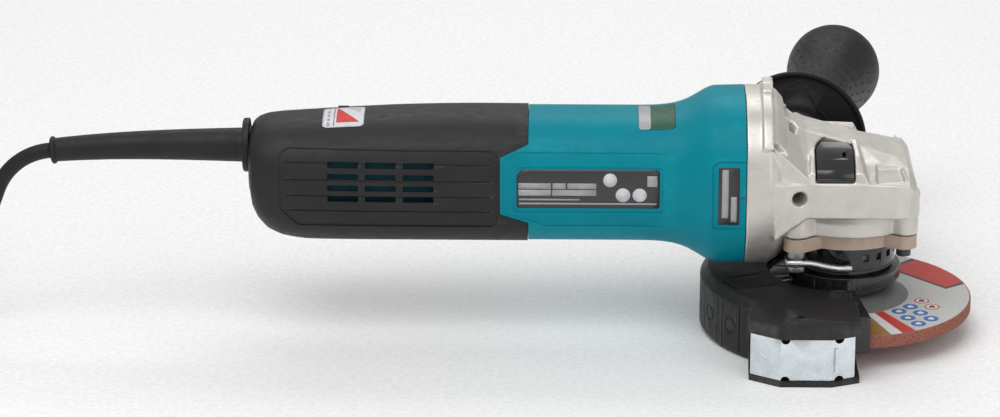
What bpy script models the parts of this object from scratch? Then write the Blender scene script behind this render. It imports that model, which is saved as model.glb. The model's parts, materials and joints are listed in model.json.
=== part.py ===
"""Corded angle grinder for 125 mm wheels, built as an assembly of separate pieces.

Metres, +X towards the gear head, +Z up. The origin is the centre of the spindle's end face,
so the spindle's axis is Z. The motor's axis runs along X at MOTOR_Z.
"""

import math

import bmesh
import bpy
from mathutils import Matrix, Vector

# ---- driving dimensions -------------------------------------------------------------------
GAP = 0.0003  # between pieces that rest on one another
RUN_GAP = 0.0006  # round a piece that turns or slides

MOTOR_Z = 0.071  # motor axis above the spindle's end face
HEAD_X = -0.0502  # seam between motor housing and gear housing
SEAM_X = -0.154  # seam between motor housing and rear cover
REAR_X = -0.289  # rear face of the rear cover
BARREL_R = 0.032  # grip barrel
FLARE_R = 0.0422  # front of the motor housing
SQUARE = 2.35  # how square a housing's section is: 2 is a circle
WALL = 0.0026  # moulded walls

WHEEL_R = 0.0625
WHEEL_T = 0.006
WHEEL_BORE_R = 0.0111
WHEEL_DISH = 0.005  # how far the wheel's centre stands above its rim
WHEEL_HUB_R = 0.0245
WHEEL_RIM_R = 0.0315  # where the dish ends and the flat rim begins
WHEEL_Z = 0.0036  # underside of the rim

SPINDLE_R = 0.0068  # M14 thread
SPINDLE_SEAT_R = 0.006  # under the 12 mm bearing
SPINDLE_TOP_Z = 0.0855
NEEDLE_IN_R = 0.0051
NEEDLE_OUT_R = 0.0071
NEEDLE_H = 0.007
BALL_R = 0.016  # spindle bearing, 12 x 32 x 10
BALL_H = 0.010
BALL_Z = 0.0408

BOX_Z = 0.0423  # underside of the bearing box's flange
BOX_TOP_Z = 0.0489
BOX_R = 0.031
NECK_R = 0.022  # the bearing box's neck, which carries the guard
NECK_Z = 0.0262

BAND_R = 0.0244  # outside of the guard's clamp band
SHEET = 0.0016  # guard steel
GUARD_R = 0.0655
GUARD_TOP_Z = 0.0205
GUARD_LOW_Z = 0.0025
LIP_R = 0.0275
LIP_Z = 0.0258
GUARD_FROM, GUARD_TO = 96.0, 278.0  # degrees round the spindle from +X

COVER_R = 0.0700  # clip-on cutting cover, outside
COVER_T = 0.0022
COVER_TOP_Z = 0.0232
COVER_LOW_Z = -0.0072
COVER_IN_R = 0.0375
COVER_UNDER_R = 0.0455

GEAR_TEETH, PINION_TEETH = 37, 12
GEAR_PITCH_R = 0.020
GEAR_FACE = 0.0075
ROOT_SHARE, TIP_SHARE = 0.29, 0.12  # half a tooth's width over the pitch, at its root and its tip
FAN_R = 0.0345
ARM_R = 0.0172
STATOR_R = 0.0282
SHAFT_R = 0.004

LOCK_Z = 0.0745  # shaft-lock pin
LOCK_TRAVEL = 0.004
PIN_R = 0.0024

GRIP_TILT = 12.0  # degrees that the side handle leans forward
HANDLE_X = -0.0244
HANDLE_Z = 0.0705
SIDE_Y = 0.038  # half-width of the gear housing
STUD_R = 0.0039  # M8 side-handle stud
STUD_HOLE_R = 0.0042

CORD_D = 0.0076
CORD_BEND = 0.0312  # no tighter than four diameters
CORD_DROP = 69.0  # degrees below the horizontal where the cord falls to the floor
BOOT_Z = 0.084  # where the cord enters, above the floor's datum
BOOT_END = Vector((-0.3862, 0.0, 0.0806))
BOOT_HEADING = Vector((-1.0, 0.0, -0.0955)).normalized()  # of the cord where it leaves the boot
FLOOR_Z = COVER_LOW_Z  # the surface that the tool stands on
COIL_PITCH = 0.00775
COIL_ROWS, COIL_COLUMNS = 2, 4
COIL_INNER_R = 0.0395  # centre line of the innermost turn
COIL_CENTRE = Vector((-0.504, 0.06275))

FRONT_BEARING_X = -0.0345  # rear face of the armature's front bearing
SEAT_DEPTH = 0.0022  # spot face under the side handle
BOX_SCREWS = [(0.0270, -0.0235), (0.0270, 0.0235), (-0.0250, 0.0295)]
LEVER_PIN = (-0.0250, -0.0295)
LEVER_Z = 0.0365
DIAL_SURFACE_R = 0.0318
BAND_HOLES = 9
GRIP_FLANGE = 0.021  # from the spot face to the hand flange
GRIP_LONG = 0.152
REAR_BEARING_R = 0.011
FRONT_BEARING_R = 0.014
BRUSH_X = -0.1455
CHASSIS_REAR_X = -0.262
RAIL_Y = 0.0215
RAIL_T = 0.0022
SWITCH_X = -0.112
SWITCH_TRAVEL = 0.006
BOOT_NECK_R = 0.0093
DIAL_X = -0.2445
DIAL_R = 0.0092
DIAL_T = 0.0055
DIAL_TURN = 38.0  # degrees from the top towards +Y
DIAL_PROUD = 0.0014
COVER_SCREW_X = -0.176
COVER_FIT = 0.0004  # rear cover over the motor housing's chassis
CHASSIS_R = BARREL_R - WALL - COVER_FIT  # the part of the motor housing inside the rear cover
BRUSH_HALF = 0.0032  # brush section is 6.4 mm square
BRUSH_TIP_Y = 0.0128
BRUSH_LONG = 0.0095
BRUSH_TRAVEL = 0.002
HOLDER_END = CHASSIS_R - WALL - 0.0007  # outer end of the brush holders, inside the chassis wall
VENT_ROWS, VENT_COLUMNS = 4, 3
VENT_X, VENT_STEP, VENT_W = -0.2503, 0.0181, 0.0148
VENT_TOP, VENT_PITCH, VENT_H = 0.0137, 0.0055, 0.0029
BOX_CORNERS = (
    (-0.0480, -0.0500), (-0.0488, -0.0755), (-0.0345, -0.0850), (-0.0100, -0.0850),
    (0.0035, -0.0790), (0.0035, -0.0500),
)

ROUNDNESS = 0.5  # scales the number of sides of every round shape


# ---- scene ----------------------------------------------------------------------------------
def clear_scene():
    for obj in list(bpy.data.objects):
        bpy.data.objects.remove(obj, do_unlink=True)


def collection(name):
    made = bpy.data.collections.new(name)
    bpy.context.scene.collection.children.link(made)
    return made


clear_scene()
PARTS = collection("angle_grinder")
CUTTERS = collection("cutters")


def material(name, colour, roughness, metallic=0.0):
    made = bpy.data.materials.new(name)
    made.use_nodes = True
    shader = made.node_tree.nodes["Principled BSDF"]
    shader.inputs["Base Color"].default_value = (*colour, 1.0)
    shader.inputs["Roughness"].default_value = roughness
    shader.inputs["Metallic"].default_value = metallic
    made.diffuse_color = (*colour, 1.0)
    return made


TEAL = material("teal_nylon", (0.0, 0.235, 0.30), 0.42)
BLACK = material("black_nylon", (0.022, 0.022, 0.023), 0.5)
RUBBER = material("black_rubber", (0.018, 0.018, 0.019), 0.65)
CAST = material("cast_aluminium", (0.56, 0.55, 0.52), 0.45, 0.75)
STEEL = material("steel", (0.45, 0.45, 0.46), 0.3, 1.0)
ZINC = material("zinc_plate", (0.68, 0.72, 0.75), 0.28, 1.0)
DARK_STEEL = material("black_steel", (0.02, 0.02, 0.022), 0.25, 0.6)
COPPER = material("copper", (0.55, 0.22, 0.09), 0.35, 1.0)
CARBON = material("carbon", (0.03, 0.03, 0.03), 0.7)
BRASS = material("brass", (0.6, 0.42, 0.16), 0.35, 1.0)
ABRASIVE = material("abrasive", (0.26, 0.085, 0.06), 0.95)
CORD_RUBBER = material("cord_rubber", (0.016, 0.016, 0.017), 0.6)


# ---- modelling helpers ------------------------------------------------------------------------
AXIS_TURN = {
    "X": Matrix.Rotation(math.radians(90), 4, "Y"),
    "Y": Matrix.Rotation(math.radians(-90), 4, "X"),
    "Z": Matrix.Identity(4),
}


def facets(steps):
    """How many sides a round shape gets: a multiple of four, or as asked where it's a hexagon."""
    return steps if steps < 8 else max(8, 4 * round(steps * ROUNDNESS / 4))


def finish(obj, mat, cutter=False):
    """Files an object as a part, with its material, or as a cutter."""
    for old in obj.users_collection:
        old.objects.unlink(obj)
    if cutter:
        CUTTERS.objects.link(obj)
        obj.hide_render = True
        obj.display_type = "WIRE"
        return obj
    PARTS.objects.link(obj)
    obj.data.materials.clear()
    obj.data.materials.append(mat)
    return obj


def from_bmesh(name, bm, mat, cutter=False, smooth_angle=35):
    bmesh.ops.recalc_face_normals(bm, faces=bm.faces)
    mesh = bpy.data.meshes.new(name)
    bm.to_mesh(mesh)
    bm.free()
    mesh.shade_smooth()
    mesh.set_sharp_from_angle(angle=math.radians(smooth_angle))
    return finish(bpy.data.objects.new(name, mesh), mat, cutter)


def place(obj, centre, axis="Z", turn=None):
    obj.matrix_world = Matrix.Translation(Vector(centre)) @ (turn or AXIS_TURN[axis])
    return obj


def cylinder(
    name, radius, length, centre, axis="Z", mat=None, top_radius=None, steps=32, cutter=False, turn=None
):
    """A closed cylinder or cone of this length, its middle at centre."""
    bm = bmesh.new()
    end_radius = radius if top_radius is None else top_radius
    bmesh.ops.create_cone(
        bm, cap_ends=True, segments=facets(steps), radius1=radius, radius2=end_radius, depth=length
    )
    return place(from_bmesh(name, bm, mat, cutter), centre, axis, turn)


def span(name, radius, low, high, axis="Z", centre=(0, 0, 0), **more):
    """A cylinder from low to high along its axis, which passes through centre."""
    middle = list(centre)
    middle["XYZ".index(axis)] = (low + high) / 2
    return cylinder(name, radius, high - low, middle, axis, **more)


def bore(name, radius, low, high, axis="Z", centre=(0, 0, 0), steps=32):
    """A cutter for a round hole, whose flats lie on this radius."""
    return span(
        name, radius / math.cos(math.pi / facets(steps)), low, high, axis, centre, steps=steps, cutter=True
    )


def box(name, low, high, mat=None, bevel=0.0, cutter=False):
    bm = bmesh.new()
    bmesh.ops.create_cube(bm, size=1.0)
    size = [b - a for a, b in zip(low, high)]
    bmesh.ops.scale(bm, vec=size, verts=bm.verts)
    obj = from_bmesh(name, bm, mat, cutter)
    obj.location = [(a + b) / 2 for a, b in zip(low, high)]
    if bevel:
        rounded(obj, bevel)
    return obj


def rounded(obj, width, segments=2, angle=35):
    bevel = obj.modifiers.new("rounded", "BEVEL")
    bevel.width = width
    bevel.segments = segments
    bevel.limit_method = "ANGLE"
    bevel.angle_limit = math.radians(angle)
    return obj


def hull(name, points, mat=None, cutter=False):
    """The convex solid through these points."""
    bm = bmesh.new()
    for point in points:
        bm.verts.new(point)
    made = bmesh.ops.convex_hull(bm, input=bm.verts)
    loose = [v for v in made["geom_interior"] if isinstance(v, bmesh.types.BMVert)]
    bmesh.ops.delete(bm, geom=loose, context="VERTS")
    bmesh.ops.dissolve_limit(bm, angle_limit=math.radians(0.5), verts=bm.verts, edges=bm.edges)
    return from_bmesh(name, bm, mat, cutter)


def circle_points(radius, centre, z, steps=20):
    x, y = centre
    steps = facets(steps)
    turn = [2 * math.pi * k / steps for k in range(steps)]
    return [(x + radius * math.cos(a), y + radius * math.sin(a), z) for a in turn]


def tab(name, low, high, first, second, mat=None, cutter=False, steps=20):
    """A flat tab with round ends: the hull of two discs, each (x, y, radius), from z low to high."""
    points = []
    for x, y, radius in (first, second):
        for z in (low, high):
            points += circle_points(radius, (x, y), z, steps)
    return hull(name, points, mat, cutter)


def turned(name, profile, mat, axis="Z", centre=(0, 0, 0), steps=48, angle=360.0, cutter=False, turn=None):
    """A solid of revolution. profile lists (radius, height) points round the section."""
    area = 0.0
    for (r0, h0), (r1, h1) in zip(profile, profile[1:] + profile[:1]):
        area += r0 * h1 - r1 * h0
    if area > 0:
        profile = profile[::-1]
    closed = all(radius > 1e-9 for radius, _ in profile)
    if not closed:
        while profile[0][0] > 1e-9 or profile[-1][0] > 1e-9:
            profile = profile[1:] + profile[:1]
    bm = bmesh.new()
    verts = [bm.verts.new((radius, 0, height)) for radius, height in profile]
    for a, b in zip(verts, verts[1:]):
        bm.edges.new((a, b))
    if closed:
        bm.edges.new((verts[-1], verts[0]))
    mesh = bpy.data.meshes.new(name)
    bm.to_mesh(mesh)
    bm.free()
    obj = finish(bpy.data.objects.new(name, mesh), mat, cutter)
    screw = obj.modifiers.new("turned", "SCREW")
    screw.angle = math.radians(angle)
    screw.steps = screw.render_steps = facets(steps)
    screw.use_merge_vertices = True
    screw.merge_threshold = 0.00001
    screw.use_smooth_shade = True
    return place(obj, centre, axis, turn)


def loft(name, rings, mat=None, capped=True, cutter=False):
    """A skin through rings of points, each ring with as many points as the next."""
    bm = bmesh.new()
    made = [[bm.verts.new(point) for point in ring] for ring in rings]
    for near, far in zip(made, made[1:]):
        for k in range(len(near)):
            after = (k + 1) % len(near)
            bm.faces.new((near[k], near[after], far[after], far[k]))
    if capped:
        bm.faces.new(made[0])
        bm.faces.new(made[-1][::-1])
    return from_bmesh(name, bm, mat, cutter)


def shell(obj, thickness):
    """Gives an open skin a wall of this thickness, inwards."""
    solid = obj.modifiers.new("wall", "SOLIDIFY")
    solid.thickness = thickness
    solid.offset = -1.0
    solid.use_even_offset = True
    return obj


def boolean(obj, others, operation):
    for other in others:
        step = obj.modifiers.new(operation.lower(), "BOOLEAN")
        step.operation = operation
        step.object = other
    return obj


def join(obj, others):
    return boolean(obj, others, "UNION")


def cut(obj, others):
    return boolean(obj, others, "DIFFERENCE")


def keep_inside(obj, others):
    return boolean(obj, others, "INTERSECT")


def section(x, centre_z, half_y, half_z, square=SQUARE, steps=64):
    """A ring of points across the tool at x: a superellipse."""
    ring = []
    steps = facets(steps)
    for k in range(steps):
        a = 2 * math.pi * (k + 0.5) / steps
        c, s = math.cos(a), math.sin(a)
        y = half_y * math.copysign(abs(c) ** (2 / square), c)
        z = half_z * math.copysign(abs(s) ** (2 / square), s)
        ring.append((x, y, centre_z + z))
    return ring


def tube(name, points, radius, mat, radii=None, sides=2, caps=True):
    """A round rod along these points, a curve with a bevel. radii scale the radius at each point."""
    curve = bpy.data.curves.new(name, "CURVE")
    curve.dimensions = "3D"
    curve.bevel_depth = radius
    curve.bevel_resolution = sides
    curve.use_fill_caps = caps
    spline = curve.splines.new("POLY")
    spline.points.add(len(points) - 1)
    for k, (spot, point) in enumerate(zip(spline.points, points)):
        spot.co = (*point, 1.0)
        spot.radius = radii[k] if radii else 1.0
    return finish(bpy.data.objects.new(name, curve), mat)


def as_mesh(obj):
    """The same object as a closed mesh, for joining or cutting."""
    bpy.context.view_layer.update()
    graph = bpy.context.evaluated_depsgraph_get()
    mesh = bpy.data.meshes.new_from_object(obj.evaluated_get(graph))
    name, mat, world = obj.name, obj.data.materials[0], obj.matrix_world.copy()
    bpy.data.objects.remove(obj)
    bm = bmesh.new()
    bm.from_mesh(mesh)
    bmesh.ops.remove_doubles(bm, verts=bm.verts, dist=1e-6)
    made = from_bmesh(name, bm, mat)
    made.matrix_world = world
    return made


def pivot(name, spot):
    """An empty on a joint's axis, which carries the pieces that move on it."""
    empty = bpy.data.objects.new(name, None)
    empty.empty_display_size = 0.01
    PARTS.objects.link(empty)
    empty.location = spot
    return empty


def carry(empty, *pieces):
    bpy.context.view_layer.update()
    for piece in pieces:
        world = piece.matrix_world.copy()
        piece.parent = empty
        piece.matrix_parent_inverse = Matrix.Translation(-empty.location)
        piece.matrix_world = world


# ---- motor housing and rear cover ---------------------------------------------------------------


def motor_sections(inset=0.0):
    """(x, radius) along the motor housing, from the grip barrel to the flared front."""
    flare = FLARE_R - BARREL_R
    steps = (
        (-0.100, 0.0), (-0.091, 0.03), (-0.084, 0.11), (-0.077, 0.34), (-0.071, 0.68),
        (-0.0665, 0.90), (-0.063, 0.965),
    )
    rows = [(SEAM_X, BARREL_R)] + [
        (x, BARREL_R + flare * share)
        for x, share in steps
    ] + [(HEAD_X, FLARE_R)]
    return [(x, radius - inset) for x, radius in rows]


def rear_tongue(name, side, clearance, depth, reach=0.0135):
    """The six-sided tongue on each flank that joins the two covers. side is -1 or 1."""
    outline = (
        (SEAM_X + 0.004, -0.0175),
        (SEAM_X + 0.0002, -0.0165),
        (SEAM_X - reach, -0.0115),
        (SEAM_X - reach, 0.0165),
        (SEAM_X + 0.0002, 0.0225),
        (SEAM_X + 0.004, 0.0235),
    )
    middle = Vector((SEAM_X, 0.0025))
    points = []
    for x, z in outline:
        out = Vector((x, z)) - middle
        grown = out + out.normalized() * clearance
        x, z = middle + grown
        for y in depth:
            points.append((x, side * y, MOTOR_Z + z))
    return hull(name, points, cutter=True)


def motor_housing():
    rings = [section(x, MOTOR_Z, radius, radius) for x, radius in motor_sections()]
    body = shell(loft("motor_housing", rings, TEAL, capped=False), WALL)
    sleeve_x = SEAM_X - 0.016
    sleeve = loft(
        "chassis_sleeve",
        [section(x, MOTOR_Z, CHASSIS_R, CHASSIS_R) for x in (sleeve_x, SEAM_X + 0.006)],
        cutter=True,
    )
    step = loft(
        "chassis_step",
        [
            section(x, MOTOR_Z, BARREL_R - 0.001, BARREL_R - 0.001)
            for x in (SEAM_X + 0.0005, SEAM_X + 0.006)
        ],
        cutter=True,
    )
    hollow_r = CHASSIS_R - WALL
    hollow = loft(
        "chassis_hollow",
        [section(x, MOTOR_Z, hollow_r, hollow_r) for x in (SEAM_X - 0.0095, SEAM_X + 0.02)],
        cutter=True,
    )
    bearing_seat = bore(
        "rear_bearing_seat", REAR_BEARING_R + GAP, SEAM_X - 0.0135, SEAM_X, "X", (0, 0, MOTOR_Z)
    )
    shaft_way = bore("rear_shaft_way", 0.0062, SEAM_X - 0.03, SEAM_X, "X", (0, 0, MOTOR_Z))
    rails = [
        box(
            f"chassis_rail_{k}",
            (CHASSIS_REAR_X, side * RAIL_Y - RAIL_T / 2, MOTOR_Z - 0.0135),
            (sleeve_x + 0.002, side * RAIL_Y + RAIL_T / 2, MOTOR_Z + 0.0115),
            cutter=True,
        )
        for k, side in enumerate((-1, 1))
    ]
    floor = box(
        "chassis_floor",
        (CHASSIS_REAR_X, -RAIL_Y - RAIL_T / 2, MOTOR_Z - 0.0155),
        (sleeve_x + 0.002, RAIL_Y + RAIL_T / 2, MOTOR_Z - 0.0132),
        cutter=True,
    )
    tongues = [
        rear_tongue(f"tongue_{k}", side, 0.0, (BARREL_R - 0.0035, BARREL_R + 0.004))
        for k, side in enumerate((-1, 1))
    ]
    skin = loft(
        "tongue_skin",
        [
            section(x, MOTOR_Z, BARREL_R - 0.00015, BARREL_R - 0.00015)
            for x in (SEAM_X - 0.03, SEAM_X + 0.02)
        ],
        cutter=True,
    )
    for tongue in tongues:
        keep_inside(tongue, [skin])
    join(body, [step, sleeve])
    cut(body, [hollow])
    join(body, rails + [floor] + tongues)
    cut(body, [bearing_seat, shaft_way])
    switch_slot = box(
        "switch_slot",
        (SWITCH_X - 0.014, BARREL_R - 0.006, MOTOR_Z - 0.0038),
        (SWITCH_X + 0.014 + SWITCH_TRAVEL, BARREL_R + 0.004, MOTOR_Z + 0.0038),
        cutter=True,
    )
    lead_way = box(
        "lead_way",
        (SEAM_X - 0.020, -0.005, MOTOR_Z + 0.0195),
        (SEAM_X - 0.004, 0.005, MOTOR_Z + 0.0245),
        cutter=True,
    )
    screw_way = bore("floor_screw_way", 0.0016, MOTOR_Z - 0.02, MOTOR_Z - 0.01, "Z", (COVER_SCREW_X, 0, 0))
    return cut(body, [switch_slot, lead_way, screw_way])


def rear_rows(inset=0.0):
    """(x, half_y, low, high) of the rear cover, low and high from the motor axis."""
    return [
        (x, half_y - inset, low + inset, high - inset)
        for x, half_y, low, high in (
            (SEAM_X - GAP, 0.0322, -0.0325, 0.0325),
            (-0.185, 0.0322, -0.0325, 0.0325),
            (-0.215, 0.0319, -0.0325, 0.0318),
            (-0.240, 0.0313, -0.0325, 0.0305),
            (-0.262, 0.0304, -0.0322, 0.0291),
            (-0.2735, 0.0294, -0.0303, 0.0283),
            (-0.2805, 0.0278, -0.0268, 0.0274),
            (-0.2850, 0.0256, -0.0218, 0.0258),
            (-0.2876, 0.0226, -0.0162, 0.0236),
            (REAR_X, 0.0180, -0.0085, 0.0205),
        )
    ]


def rear_cover():
    def rings(rows):
        return [
            section(x, MOTOR_Z + (low + high) / 2, half_y, (high - low) / 2)
            for x, half_y, low, high in rows
        ]

    outer = loft("rear_cover", rings(rear_rows()), BLACK)
    inner_rows = rear_rows(WALL)
    inner_rows[0] = (SEAM_X + 0.01, *inner_rows[0][1:])
    inner_rows = [row for row in inner_rows if row[0] > REAR_X + 0.004]
    hollow = loft("rear_cover_hollow", rings(inner_rows), cutter=True)
    vents = []
    for side in (-1, 1):
        for row in range(VENT_ROWS):
            z = MOTOR_Z + VENT_TOP - row * VENT_PITCH
            for column in range(VENT_COLUMNS):
                x = VENT_X + column * VENT_STEP
                vents.append(
                    box(
                        f"vent_{side}_{row}_{column}",
                        (x, side * 0.030 - 0.008, z - VENT_H),
                        (x + VENT_W, side * 0.030 + 0.008, z),
                        cutter=True,
                    )
                )
    tongues = [rear_tongue(f"tongue_way_{k}", side, GAP, (0.020, 0.040)) for k, side in enumerate((-1, 1))]
    boot_hole = bore("boot_hole", BOOT_NECK_R + GAP, REAR_X - 0.01, REAR_X + 0.012, "X", (0, 0, BOOT_Z))
    dial_slot = box(
        "dial_slot",
        (DIAL_X - DIAL_T / 2 - RUN_GAP, -0.0105, 0.020),
        (DIAL_X + DIAL_T / 2 + RUN_GAP, 0.0105, 0.036),
        cutter=True,
    )
    place(
        dial_slot,
        (DIAL_X, 0, MOTOR_Z),
        turn=Matrix.Rotation(math.radians(-DIAL_TURN), 4, "X") @ Matrix.Translation((0, 0, 0.028)),
    )
    screw_hole = bore(
        "cover_screw_hole", 0.0034, MOTOR_Z - 0.05, MOTOR_Z - 0.0311, "Z", (COVER_SCREW_X, 0, 0)
    )
    shank_hole = bore(
        "cover_shank_hole", 0.0018, MOTOR_Z - 0.05, MOTOR_Z - 0.02, "Z", (COVER_SCREW_X, 0, 0)
    )
    cut(outer, [hollow, joined_cutter("vents", vents)])
    return cut(outer, tongues + [boot_hole, dial_slot, screw_hole, shank_hole])


def joined_cutter(name, pieces):
    """Many separate cutters as one object, so that they take one Boolean."""
    bm = bmesh.new()
    bpy.context.view_layer.update()
    for piece in pieces:
        before = len(bm.verts)
        bm.from_mesh(piece.data)
        bm.verts.ensure_lookup_table()
        bmesh.ops.transform(bm, matrix=piece.matrix_world, verts=bm.verts[before:])
        bpy.data.objects.remove(piece)
    return from_bmesh(name, bm, None, cutter=True)


# ---- gear housing -------------------------------------------------------------------------------
def head_section(x, low, edge, top, half_y, half_top):
    """One ring of the gear head: straight flanks, sloping shoulders, a flat ridge."""
    return [
        (x, -half_y, low),
        (x, half_y, low),
        (x, half_y, edge),
        (x, (half_y + half_top) / 2, (edge + top) / 2 + 0.0018),
        (x, half_top, top),
        (x, -half_top, top),
        (x, -(half_y + half_top) / 2, (edge + top) / 2 + 0.0018),
        (x, -half_y, edge),
    ]


def mirrored(points):
    return [(x, -y, z) for x, y, z in points]


def head_ribs():
    """Facets on both shoulders: the rear wedge, the frame round the lock, and the front wedge."""
    wedge = (
        (-0.0366, 0.0140, 0.1075),
        (-0.0366, 0.0372, 0.0955),
        (-0.0366, SIDE_Y - 0.0002, 0.0770),
        (-0.0150, SIDE_Y - 0.0002, 0.0755),
        (-0.0245, 0.0120, 0.0980),
        (-0.0300, 0.0340, 0.0755),
    )
    frame = (
        (-0.0215, SIDE_Y - 0.0003, 0.0766),
        (0.0095, SIDE_Y - 0.0003, 0.0766),
        (-0.0195, 0.0360, 0.0828),
        (0.0062, 0.0360, 0.0828),
        (-0.0190, 0.0270, 0.0886),
        (0.0045, 0.0270, 0.0884),
        (-0.0180, 0.0125, 0.0938),
        (0.0035, 0.0125, 0.0930),
        (-0.0180, 0.0100, 0.0780),
        (0.0080, 0.0100, 0.0780),
    )
    front = (
        (0.0150, SIDE_Y - 0.001, 0.0763),
        (0.0285, SIDE_Y - 0.002, 0.0763),
        (0.0165, 0.0300, 0.0838),
        (0.0245, 0.0270, 0.0830),
        (0.0160, 0.0140, 0.0780),
        (0.0283, 0.0140, 0.0780),
    )
    made = []
    for name, points in (("wedge", wedge), ("frame", frame), ("front", front)):
        made.append(hull(f"{name}_left", points, cutter=True))
        made.append(hull(f"{name}_right", mirrored(points), cutter=True))
    return made


def gear_housing():
    rings = [
        section(HEAD_X + GAP, MOTOR_Z, FLARE_R, FLARE_R),
        section(-0.0385, MOTOR_Z, FLARE_R, FLARE_R),
        section(-0.0345, MOTOR_Z, FLARE_R - 0.0022, FLARE_R - 0.0022),
        section(-0.0312, MOTOR_Z, 0.0362, 0.0362),
    ]
    body = loft("gear_housing", rings, CAST)
    head = loft(
        "head",
        [
            head_section(-0.0360, 0.0500, 0.0780, 0.1065, 0.0408, 0.013),
            head_section(-0.0285, 0.0550, 0.0776, 0.1002, 0.0390, 0.012),
            head_section(-0.0205, 0.0605, 0.0774, 0.0965, SIDE_Y, 0.012),
            head_section(0.0010, 0.0605, 0.0772, 0.0907, SIDE_Y, 0.011),
            head_section(0.0220, 0.0605, 0.0772, 0.0838, SIDE_Y, 0.011),
            head_section(0.0285, 0.0600, 0.0768, 0.0820, 0.0365, 0.012),
            head_section(0.0315, 0.0600, 0.0735, 0.0765, 0.0335, 0.018),
            head_section(0.0335, 0.0600, 0.0665, 0.0685, 0.0300, 0.022),
        ],
        cutter=True,
    )
    boss = span("boss", 0.0345, BOX_TOP_Z + GAP, 0.0640, cutter=True, steps=56)
    collar = turned(
        "boss_shoulder",
        [(0.0, 0.0621), (0.0364, 0.0621), (0.0342, 0.0553), (0.0, 0.0553)],
        None,
        cutter=True,
        steps=56,
    )
    pillars = []
    for x, y in BOX_SCREWS + [LEVER_PIN]:
        outward = Vector((x, y)).normalized()
        inner = Vector((x, y)) - outward * 0.012
        pillars.append(
            tab(
                f"pillar_{len(pillars)}", BOX_TOP_Z + GAP + 0.0002, 0.0640, (x, y, 0.0066),
                (inner.x, inner.y, 0.0085), cutter=True,
            )
        )
    lug = hull(
        "flange_lug",
        [
            (x, y, z)
            for x in (-0.0417, -0.0366)
            for y, z in ((-0.0085, 0.108), (0.0085, 0.108), (-0.0045, 0.1185), (0.0045, 0.1185))
        ],
        cutter=True,
    )
    rib_ring = loft(
        "flange_rib",
        [section(x, MOTOR_Z, FLARE_R + 0.0012, FLARE_R + 0.0012) for x in (-0.0420, -0.0372)],
        cutter=True,
    )
    rib_half = box("rib_half", (-0.06, -0.06, MOTOR_Z + 0.024), (0.0, 0.06, 0.16), cutter=True)
    keep_inside(rib_ring, [rib_half])
    join(body, [head, boss, collar] + pillars + head_ribs() + [rib_ring, lug])
    cut(body, gear_housing_hollows())
    return body


def side_hole(side):
    """The threaded hole for the side handle, leaning forward as the handle does."""
    direction = grip_direction(side)
    mouth = Vector((HANDLE_X, side * SIDE_Y, HANDLE_Z))
    turn = direction.to_track_quat("Z", "Y").to_matrix().to_4x4()
    return cylinder(f"side_hole_{side}", STUD_HOLE_R, 0.030, mouth, steps=32, cutter=True, turn=turn)


def grip_direction(side):
    tilt = math.radians(GRIP_TILT)
    return Vector((math.sin(tilt), side * math.cos(tilt), 0.0))


def gear_housing_hollows():
    chamber = turned(
        "gear_chamber",
        [
            (0.0, 0.040), (0.0252, 0.040), (0.0252, 0.0685), (0.0190, 0.0738), (0.0100, 0.0779),
            (0.0, 0.0779),
        ],
        None,
        cutter=True,
    )
    pinion_way = bore("pinion_way", 0.0100, -0.030, -0.004, "X", (0, 0, MOTOR_Z))
    bearing_seat = bore(
        "front_bearing_seat", FRONT_BEARING_R + GAP, -0.0600, FRONT_BEARING_X + 0.0085, "X", (0, 0, MOTOR_Z)
    )
    needle_seat = bore("needle_seat", NEEDLE_OUT_R + GAP, 0.0765, SPINDLE_TOP_Z + 0.0012, steps=24)
    fan_bay = loft(
        "fan_bay",
        [section(x, MOTOR_Z, FLARE_R - 0.0042, FLARE_R - 0.0042) for x in (HEAD_X - 0.01, -0.0395)],
        cutter=True,
    )
    lock_way = bore("lock_way", PIN_R + RUN_GAP, -0.030, -0.002, "Y", (0, 0, LOCK_Z), steps=16)
    window = hull("lock_window", lock_outline(RUN_GAP, (-0.060, -0.0120)), cutter=True)
    bridge_way = box(
        "lock_bridge_way", (-0.0066, -0.0252, LOCK_Z - 0.0026), (0.0024, -0.0154, 0.0800), cutter=True
    )
    vents = []
    for side in (-1, 1):
        points = []
        for x, y, z in (
            (-0.0265, 0.0150, 0.1010),
            (-0.0205, 0.0190, 0.0950),
            (-0.0215, 0.0285, 0.0880),
            (-0.0270, 0.0235, 0.0930),
        ):
            points.append((x + 0.003, side * (y + 0.002), z + 0.003))
            points.append((x - 0.016, side * (y - 0.002), z - 0.002))
        vents.append(hull(f"exhaust_{side}", points, cutter=True))
        vents.append(
            box(
                f"exhaust_slot_{side}",
                (-0.0413, side * 0.0335 - 0.0035, 0.0905),
                (-0.0303, side * 0.0335 + 0.0035, 0.0965),
                cutter=True,
            )
        )
    holes = [side_hole(-1), side_hole(1)]
    screws = [
        bore(f"box_screw_way_{k}", 0.0021, 0.040, 0.0613, "Z", (x, y, 0), steps=12)
        for k, (x, y) in enumerate(BOX_SCREWS + [LEVER_PIN])
    ]
    seat = cylinder(
        "handle_seat",
        0.0115,
        0.010,
        Vector((HANDLE_X, SIDE_Y, HANDLE_Z)) + grip_direction(1) * (0.005 - SEAT_DEPTH),
        steps=24,
        cutter=True,
        turn=grip_direction(1).to_track_quat("Z", "Y").to_matrix().to_4x4(),
    )
    return [
        fan_bay, bearing_seat, pinion_way, chamber, needle_seat, lock_way, window, bridge_way,
    ] + vents + holes + screws + [seat]


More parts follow.
